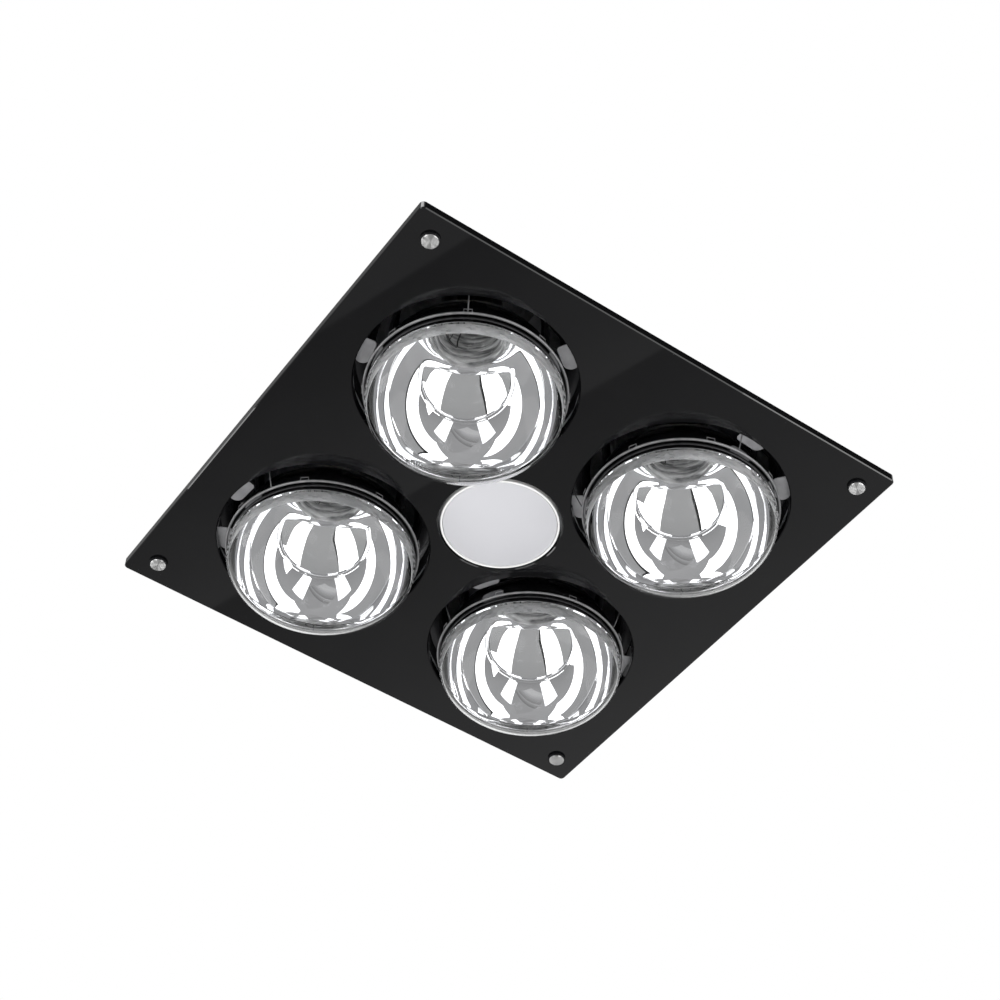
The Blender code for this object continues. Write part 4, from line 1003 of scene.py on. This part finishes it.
GLAND_R, GLAND_GROOVE_R, GLAND_BORE_R = 0.0075, 0.0072, 0.0045
GLAND_NUTS = ((0.0004, 0.0060, 0.0110), (0.0098, 0.0170, 0.0093))


def make_gland():
    """Cable gland on the connection box: a turned body with two hexagons."""
    low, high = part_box("cable_gland")
    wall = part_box("terminal_box")[0].x
    spot = (wall, (low.y + high.y) / 2, (low.z + high.z) / 2)
    turn = Matrix.Translation(spot) @ Matrix.Rotation(-pi / 2, 4, "Y")
    shape = bmesh.new()
    long, inside = wall - low.x, wall - high.x
    add_lathe(shape, [
        (GLAND_BORE_R, inside), (GLAND_R, inside), (GLAND_R, 0.0070), (GLAND_GROOVE_R, 0.0074),
        (GLAND_GROOVE_R, 0.0090), (GLAND_R, 0.0094), (GLAND_R, 0.0185), (0.0072, 0.0210),
        (0.0064, 0.0238), (0.0055, long), (GLAND_BORE_R, long),
    ], 64, turn=turn)
    for start, end, reach in GLAND_NUTS:
        add_prism(shape, ring(reach, 6), start, end, turn)
    mesh = mesh_from(shape, "gland_body")
    new_piece("gland_body", mesh, "black_plastic", "housing", ["cable_gland"])


# Stage: floor, ceiling seen from below, reflection cards, world, lights and camera

def stage_plane(name, corners, material, camera=True, shadow=True, faces=None):
    mesh = bpy.data.meshes.new(name)
    mesh.from_pydata(corners, [], faces or [list(range(len(corners)))])
    mesh.materials.append(material)
    item = new_item(name, mesh)
    item.visible_camera = camera
    item.visible_shadow = shadow
    return item


def floor_material():
    made, nodes = new_material("floor")[:2]
    set_sockets(nodes["Principled BSDF"], Base_Color=(0.82, 0.82, 0.82, 1), Roughness=0.9)
    return made


def ceiling_material():
    """Plain white from the room side, nothing from above."""
    made, nodes, links = new_material("ceiling")
    nodes.clear()
    white = nodes.new("ShaderNodeEmission")
    clear = nodes.new("ShaderNodeBsdfTransparent")
    mix = nodes.new("ShaderNodeMixShader")
    side = nodes.new("ShaderNodeNewGeometry")
    out = nodes.new("ShaderNodeOutputMaterial")
    links.new(side.outputs["Backfacing"], mix.inputs["Fac"])
    links.new(white.outputs["Emission"], mix.inputs[1])
    links.new(clear.outputs["BSDF"], mix.inputs[2])
    links.new(mix.outputs["Shader"], out.inputs["Surface"])
    return made


def band_material():
    """Soft bands that the black glass mirrors: each starts dark and grows lighter away from the camera."""
    made, nodes, links = new_material("mirrored_bands")
    nodes.clear()
    glow = nodes.new("ShaderNodeEmission")
    out = nodes.new("ShaderNodeOutputMaterial")
    spin = nodes.new("ShaderNodeVectorMath")
    spin.operation = "DOT_PRODUCT"
    spin.inputs[1].default_value = BAND_ACROSS
    links.new(own_coords(nodes), spin.inputs[0])
    place = add_node(nodes, "MapRange", From_Min=BAND_START, From_Max=BAND_END)
    links.new(spin.outputs["Value"], place.inputs["Value"])
    ramp = nodes.new("ShaderNodeValToRGB")
    ramp.color_ramp.interpolation = "LINEAR"
    elements = ramp.color_ramp.elements
    for position, level in BAND_LEVELS[:-2]:
        elements.new(position).color = (level, level, level, 1)
    elements = sorted(elements, key=lambda element: element.position)
    for element, (position, level) in zip(elements, BAND_LEVELS):
        element.position = position
        element.color = (level, level, level, 1)
    links.new(place.outputs["Result"], ramp.inputs["Fac"])
    links.new(ramp.outputs["Color"], glow.inputs["Color"])
    links.new(glow.outputs["Emission"], out.inputs["Surface"])
    return made


# The bands lie on a card under the object, where the glass mirrors it for the camera
CARD_Z = -2.30
BAND_CARD = ((-3.2, -0.2, CARD_Z), (-0.6, -0.2, CARD_Z), (-0.6, 2.6, CARD_Z), (-3.2, 2.6, CARD_Z))
BAND_ACROSS = (-0.2895, 0.9572, 0.0)
BAND_START, BAND_END = 0.90, 2.40
BAND_LEVELS = (
    (0.00, 0.34), (0.091, 0.36), (0.093, 0.19), (0.373, 0.40), (0.375, 0.23), (1.00, 0.55),
)

# Studio cards that only mirrors, metal and glass see. These are placed by their angles from the line to
# the camera: degrees to the right, degrees up
CAMERA_AXES = Euler(CAMERA_TURN).to_matrix()
BOX_REACH = 1.7
RIGHT_BOX = ((17, -36), (50, 62), (78, 62), (42, -40))
LEFT_BOX = ((-14, -36), (-45, 62), (-74, 62), (-40, -40))
STAND = ((-9, -36), (-32, 40), (-37, 40), (-14, -36))
EDGE_BOX = ((-68, -26), (-68, -8), (-86, -8), (-86, -26))
ARRIS_BOX = ((33, -6), (33, 16), (72, 5), (72, -17))
ARRIS_REACH = 1.15

# Low cards, either side of the line on which the glass mirrors the camera
LOW_BOX_TURNS = (24, 42)
LOW_BOX_HALF = 0.8
LOW_BOX_REACH = 2.2

# Cards placed by their corners in metres
DARK_ABOVE = ((1.9, -0.4, 0.5), (1.9, 3.0, 0.5), (1.9, 3.0, 4.0), (1.9, -0.4, 4.0))
GREY_ABOVE = ((-3.2, -2.6, 2.0), (-0.4, -2.6, 2.0), (-0.4, -0.2, 2.0), (-3.2, -0.2, 2.0))
CORNER_BOX = ((0.15, -1.7, 1.5), (1.25, -0.95, 1.5), (1.15, -0.75, 1.9), (0.05, -1.5, 1.9))
MIRROR_FLOOR_HALF = 16.0

# How bright each card is
BOX_GLOW = 2.4
STAND_GLOW = 0.03
ABOVE_GREY = 0.34
CORNER_GLOW = 6.0
EDGE_GLOW = 5.0
LOW_GLOW = 2.0
FLOOR_NEAR_GREY, FLOOR_FAR_GREY = 0.42, 0.336
FLOOR_FADE = 6.0

FLOOR_HALF = 6.0
FLOOR_Z = -2.4
CEILING_HOLE_HALF = 0.176


def square(half, level):
    return [(x * half, y * half, level) for x, y in SQUARE]


def from_camera(side, rise, reach):
    side, rise = radians(side), radians(rise)
    return CAMERA_AXES @ Vector((cos(rise) * sin(side), sin(rise), cos(rise) * cos(side))) * reach


def glow_material(name, near, far=None, reach=1.0):
    """A glow that is even, or that changes from the card's own origin outwards to a far level."""
    made, nodes, links = new_material(name)
    nodes.clear()
    glow = nodes.new("ShaderNodeEmission")
    out = nodes.new("ShaderNodeOutputMaterial")
    length = nodes.new("ShaderNodeVectorMath")
    length.operation = "LENGTH"
    links.new(own_coords(nodes), length.inputs[0])
    far = near if far is None else far
    fade = add_node(nodes, "MapRange", From_Max=reach, To_Min=near, To_Max=far)
    links.new(length.outputs["Value"], fade.inputs["Value"])
    links.new(fade.outputs["Result"], glow.inputs["Strength"])
    links.new(glow.outputs["Emission"], out.inputs["Surface"])
    return made


def mirror_card(name, corners, material):
    """A card that only mirrors, metal and glass see."""
    stage_plane(name, corners, material, camera=False, shadow=False).visible_diffuse = False


def make_cards():
    """Cards for the mirrors: soft boxes beside the camera, a dark stand, dark and grey above the ceiling,
    bright ones for the corner, edges and arrises of the glass, low ones beyond the object, a grey floor.
    """
    box = glow_material("box_glow", BOX_GLOW)
    dark = glow_material("stand_dark", STAND_GLOW)
    for name, corners, material in (("right_box", RIGHT_BOX, box), ("left_box", LEFT_BOX, box),
                                    ("stand", STAND, dark)):
        mirror_card(name, [from_camera(*corner, BOX_REACH) for corner in corners], material)
    mirror_card("dark_above", DARK_ABOVE, dark)
    mirror_card("grey_above", GREY_ABOVE, glow_material("above_grey", ABOVE_GREY))
    mirror_card("corner_box", CORNER_BOX, glow_material("corner_glow", CORNER_GLOW))
    edge = glow_material("edge_glow", EDGE_GLOW)
    for name, corners, reach in (("edge_box", EDGE_BOX, BOX_REACH), ("arris_box", ARRIS_BOX, ARRIS_REACH)):
        mirror_card(name, [from_camera(*corner, reach) for corner in corners], edge)
    low = glow_material("low_glow", LOW_GLOW)
    right, back = CAMERA_AXES.col[0], CAMERA_AXES.col[2]
    mirrored = Vector((-back.x, -back.y, back.z))
    along = mirrored.cross(right).normalized() * LOW_BOX_HALF
    for name, side in (("low_right", 1), ("low_left", -1)):
        first, last = (
            (mirrored * cos(radians(turn)) + side * right * sin(radians(turn))) * LOW_BOX_REACH
            for turn in LOW_BOX_TURNS
        )
        mirror_card(name, [first - along, last - along, last + along, first + along], low)
    grey = glow_material("floor_grey", FLOOR_NEAR_GREY, FLOOR_FAR_GREY, FLOOR_FADE)
    mirror_card("grey_floor", square(MIRROR_FLOOR_HALF, CARD_Z - 0.04), grey)


def make_stage():
    stage_plane("floor", square(FLOOR_HALF, FLOOR_Z), floor_material())
    corners = square(FLOOR_HALF, 0) + square(CEILING_HOLE_HALF, 0)
    faces = [(i, i + 4, (i + 1) % 4 + 4, (i + 1) % 4) for i in range(4)]
    ceiling = stage_plane("ceiling", corners, ceiling_material(), shadow=False, faces=faces)
    ceiling.visible_diffuse = ceiling.visible_glossy = ceiling.visible_transmission = False
    mirror_card("band_card", BAND_CARD, band_material())
    make_cards()


WORLD_LIGHT = 0.55


def make_world():
    """A white backdrop for the camera, for glass and for metal, and a lower light on all else."""
    world = bpy.data.worlds.new("studio")
    bpy.context.scene.world = world
    world.use_nodes = True
    nodes, links = world.node_tree.nodes, world.node_tree.links
    nodes.clear()
    path = nodes.new("ShaderNodeLightPath")
    seen = path.outputs["Is Camera Ray"]
    for ray in ("Is Transmission Ray", "Is Glossy Ray"):
        either = nodes.new("ShaderNodeMath")
        either.operation = "MAXIMUM"
        links.new(seen, either.inputs[0])
        links.new(path.outputs[ray], either.inputs[1])
        seen = either.outputs["Value"]
    mix = nodes.new("ShaderNodeMixShader")
    out = nodes.new("ShaderNodeOutputWorld")
    links.new(seen, mix.inputs["Fac"])
    for socket, strength in ((1, WORLD_LIGHT), (2, 1.0)):
        sky = add_node(nodes, "Background", Color=(1, 1, 1, 1), Strength=strength)
        links.new(sky.outputs["Background"], mix.inputs[socket])
    links.new(mix.outputs["Shader"], out.inputs["Surface"])


def area_light(name, spot, target, size, power):
    """A soft box that faces a target and doesn't show in glass and metal."""
    data = bpy.data.lights.new(name, "AREA")
    data.shape = "RECTANGLE"
    data.size, data.size_y = size
    data.energy = power
    item = new_item(name, data)
    item.location = spot
    item.rotation_euler = (Vector(target) - Vector(spot)).to_track_quat("-Z", "Y").to_euler()
    item.visible_camera = item.visible_glossy = item.visible_transmission = False


def make_camera():
    data = bpy.data.cameras.new("camera")
    data.lens = CAMERA_LENS
    data.sensor_width = 36
    camera = new_item("camera", data)
    camera.location = CAMERA_SPOT
    camera.rotation_euler = Euler(CAMERA_TURN)
    bpy.context.scene.camera = camera


def make_lights():
    """Two tall lights beside the camera, and soft fills: each has a spot, a target, a size and a power."""
    plan = Vector((CAMERA_SPOT[0], CAMERA_SPOT[1], 0)).normalized()
    beside, front = CAMERA_AXES.col[0] * 1.5, plan * 0.2 + Vector((0, 0, -1.25))
    housing = (0, 0, 0.1)
    for name, spot, target, size, power in (
        ("box_left", front - beside, (0, 0, 0), (0.9, 2.6), 14),
        ("box_right", front + beside, (0, 0, 0), (0.9, 2.6), 14),
        ("fill_below", plan * 0.6 + Vector((0, 0, -2.0)), (0, 0, 0), (1.6, 1.6), 22),
        ("fill_above", (1.2, -1.6, 2.2), housing, (1.6, 1.6), 26),
        ("fill_back", (-1.8, 1.2, 1.4), housing, (1.4, 1.4), 16),
    ):
        area_light(name, spot, target, size, power)


def dress_nodes():
    """Give every CAD node that still shows the material of its slot."""
    slots = {row["node"]: row["material_slot"] for row in frame["record"]["subparts"]}
    for name, item in frame["nodes"].items():
        slot = slots[name]
        item.data.materials.clear()
        item.data.materials.append(MATERIALS["clear_glass" if slot == "lamp_glass" else slot])


make_camera()
dress_nodes()
make_fascia()
make_buttons()
make_lamps()
make_wells()
make_light()
make_shell_trim()
make_spigot()
make_roof_pieces()
make_gland()
make_world()
make_stage()
make_lights()

scene = bpy.context.scene
scene.view_settings.view_transform = "Standard"
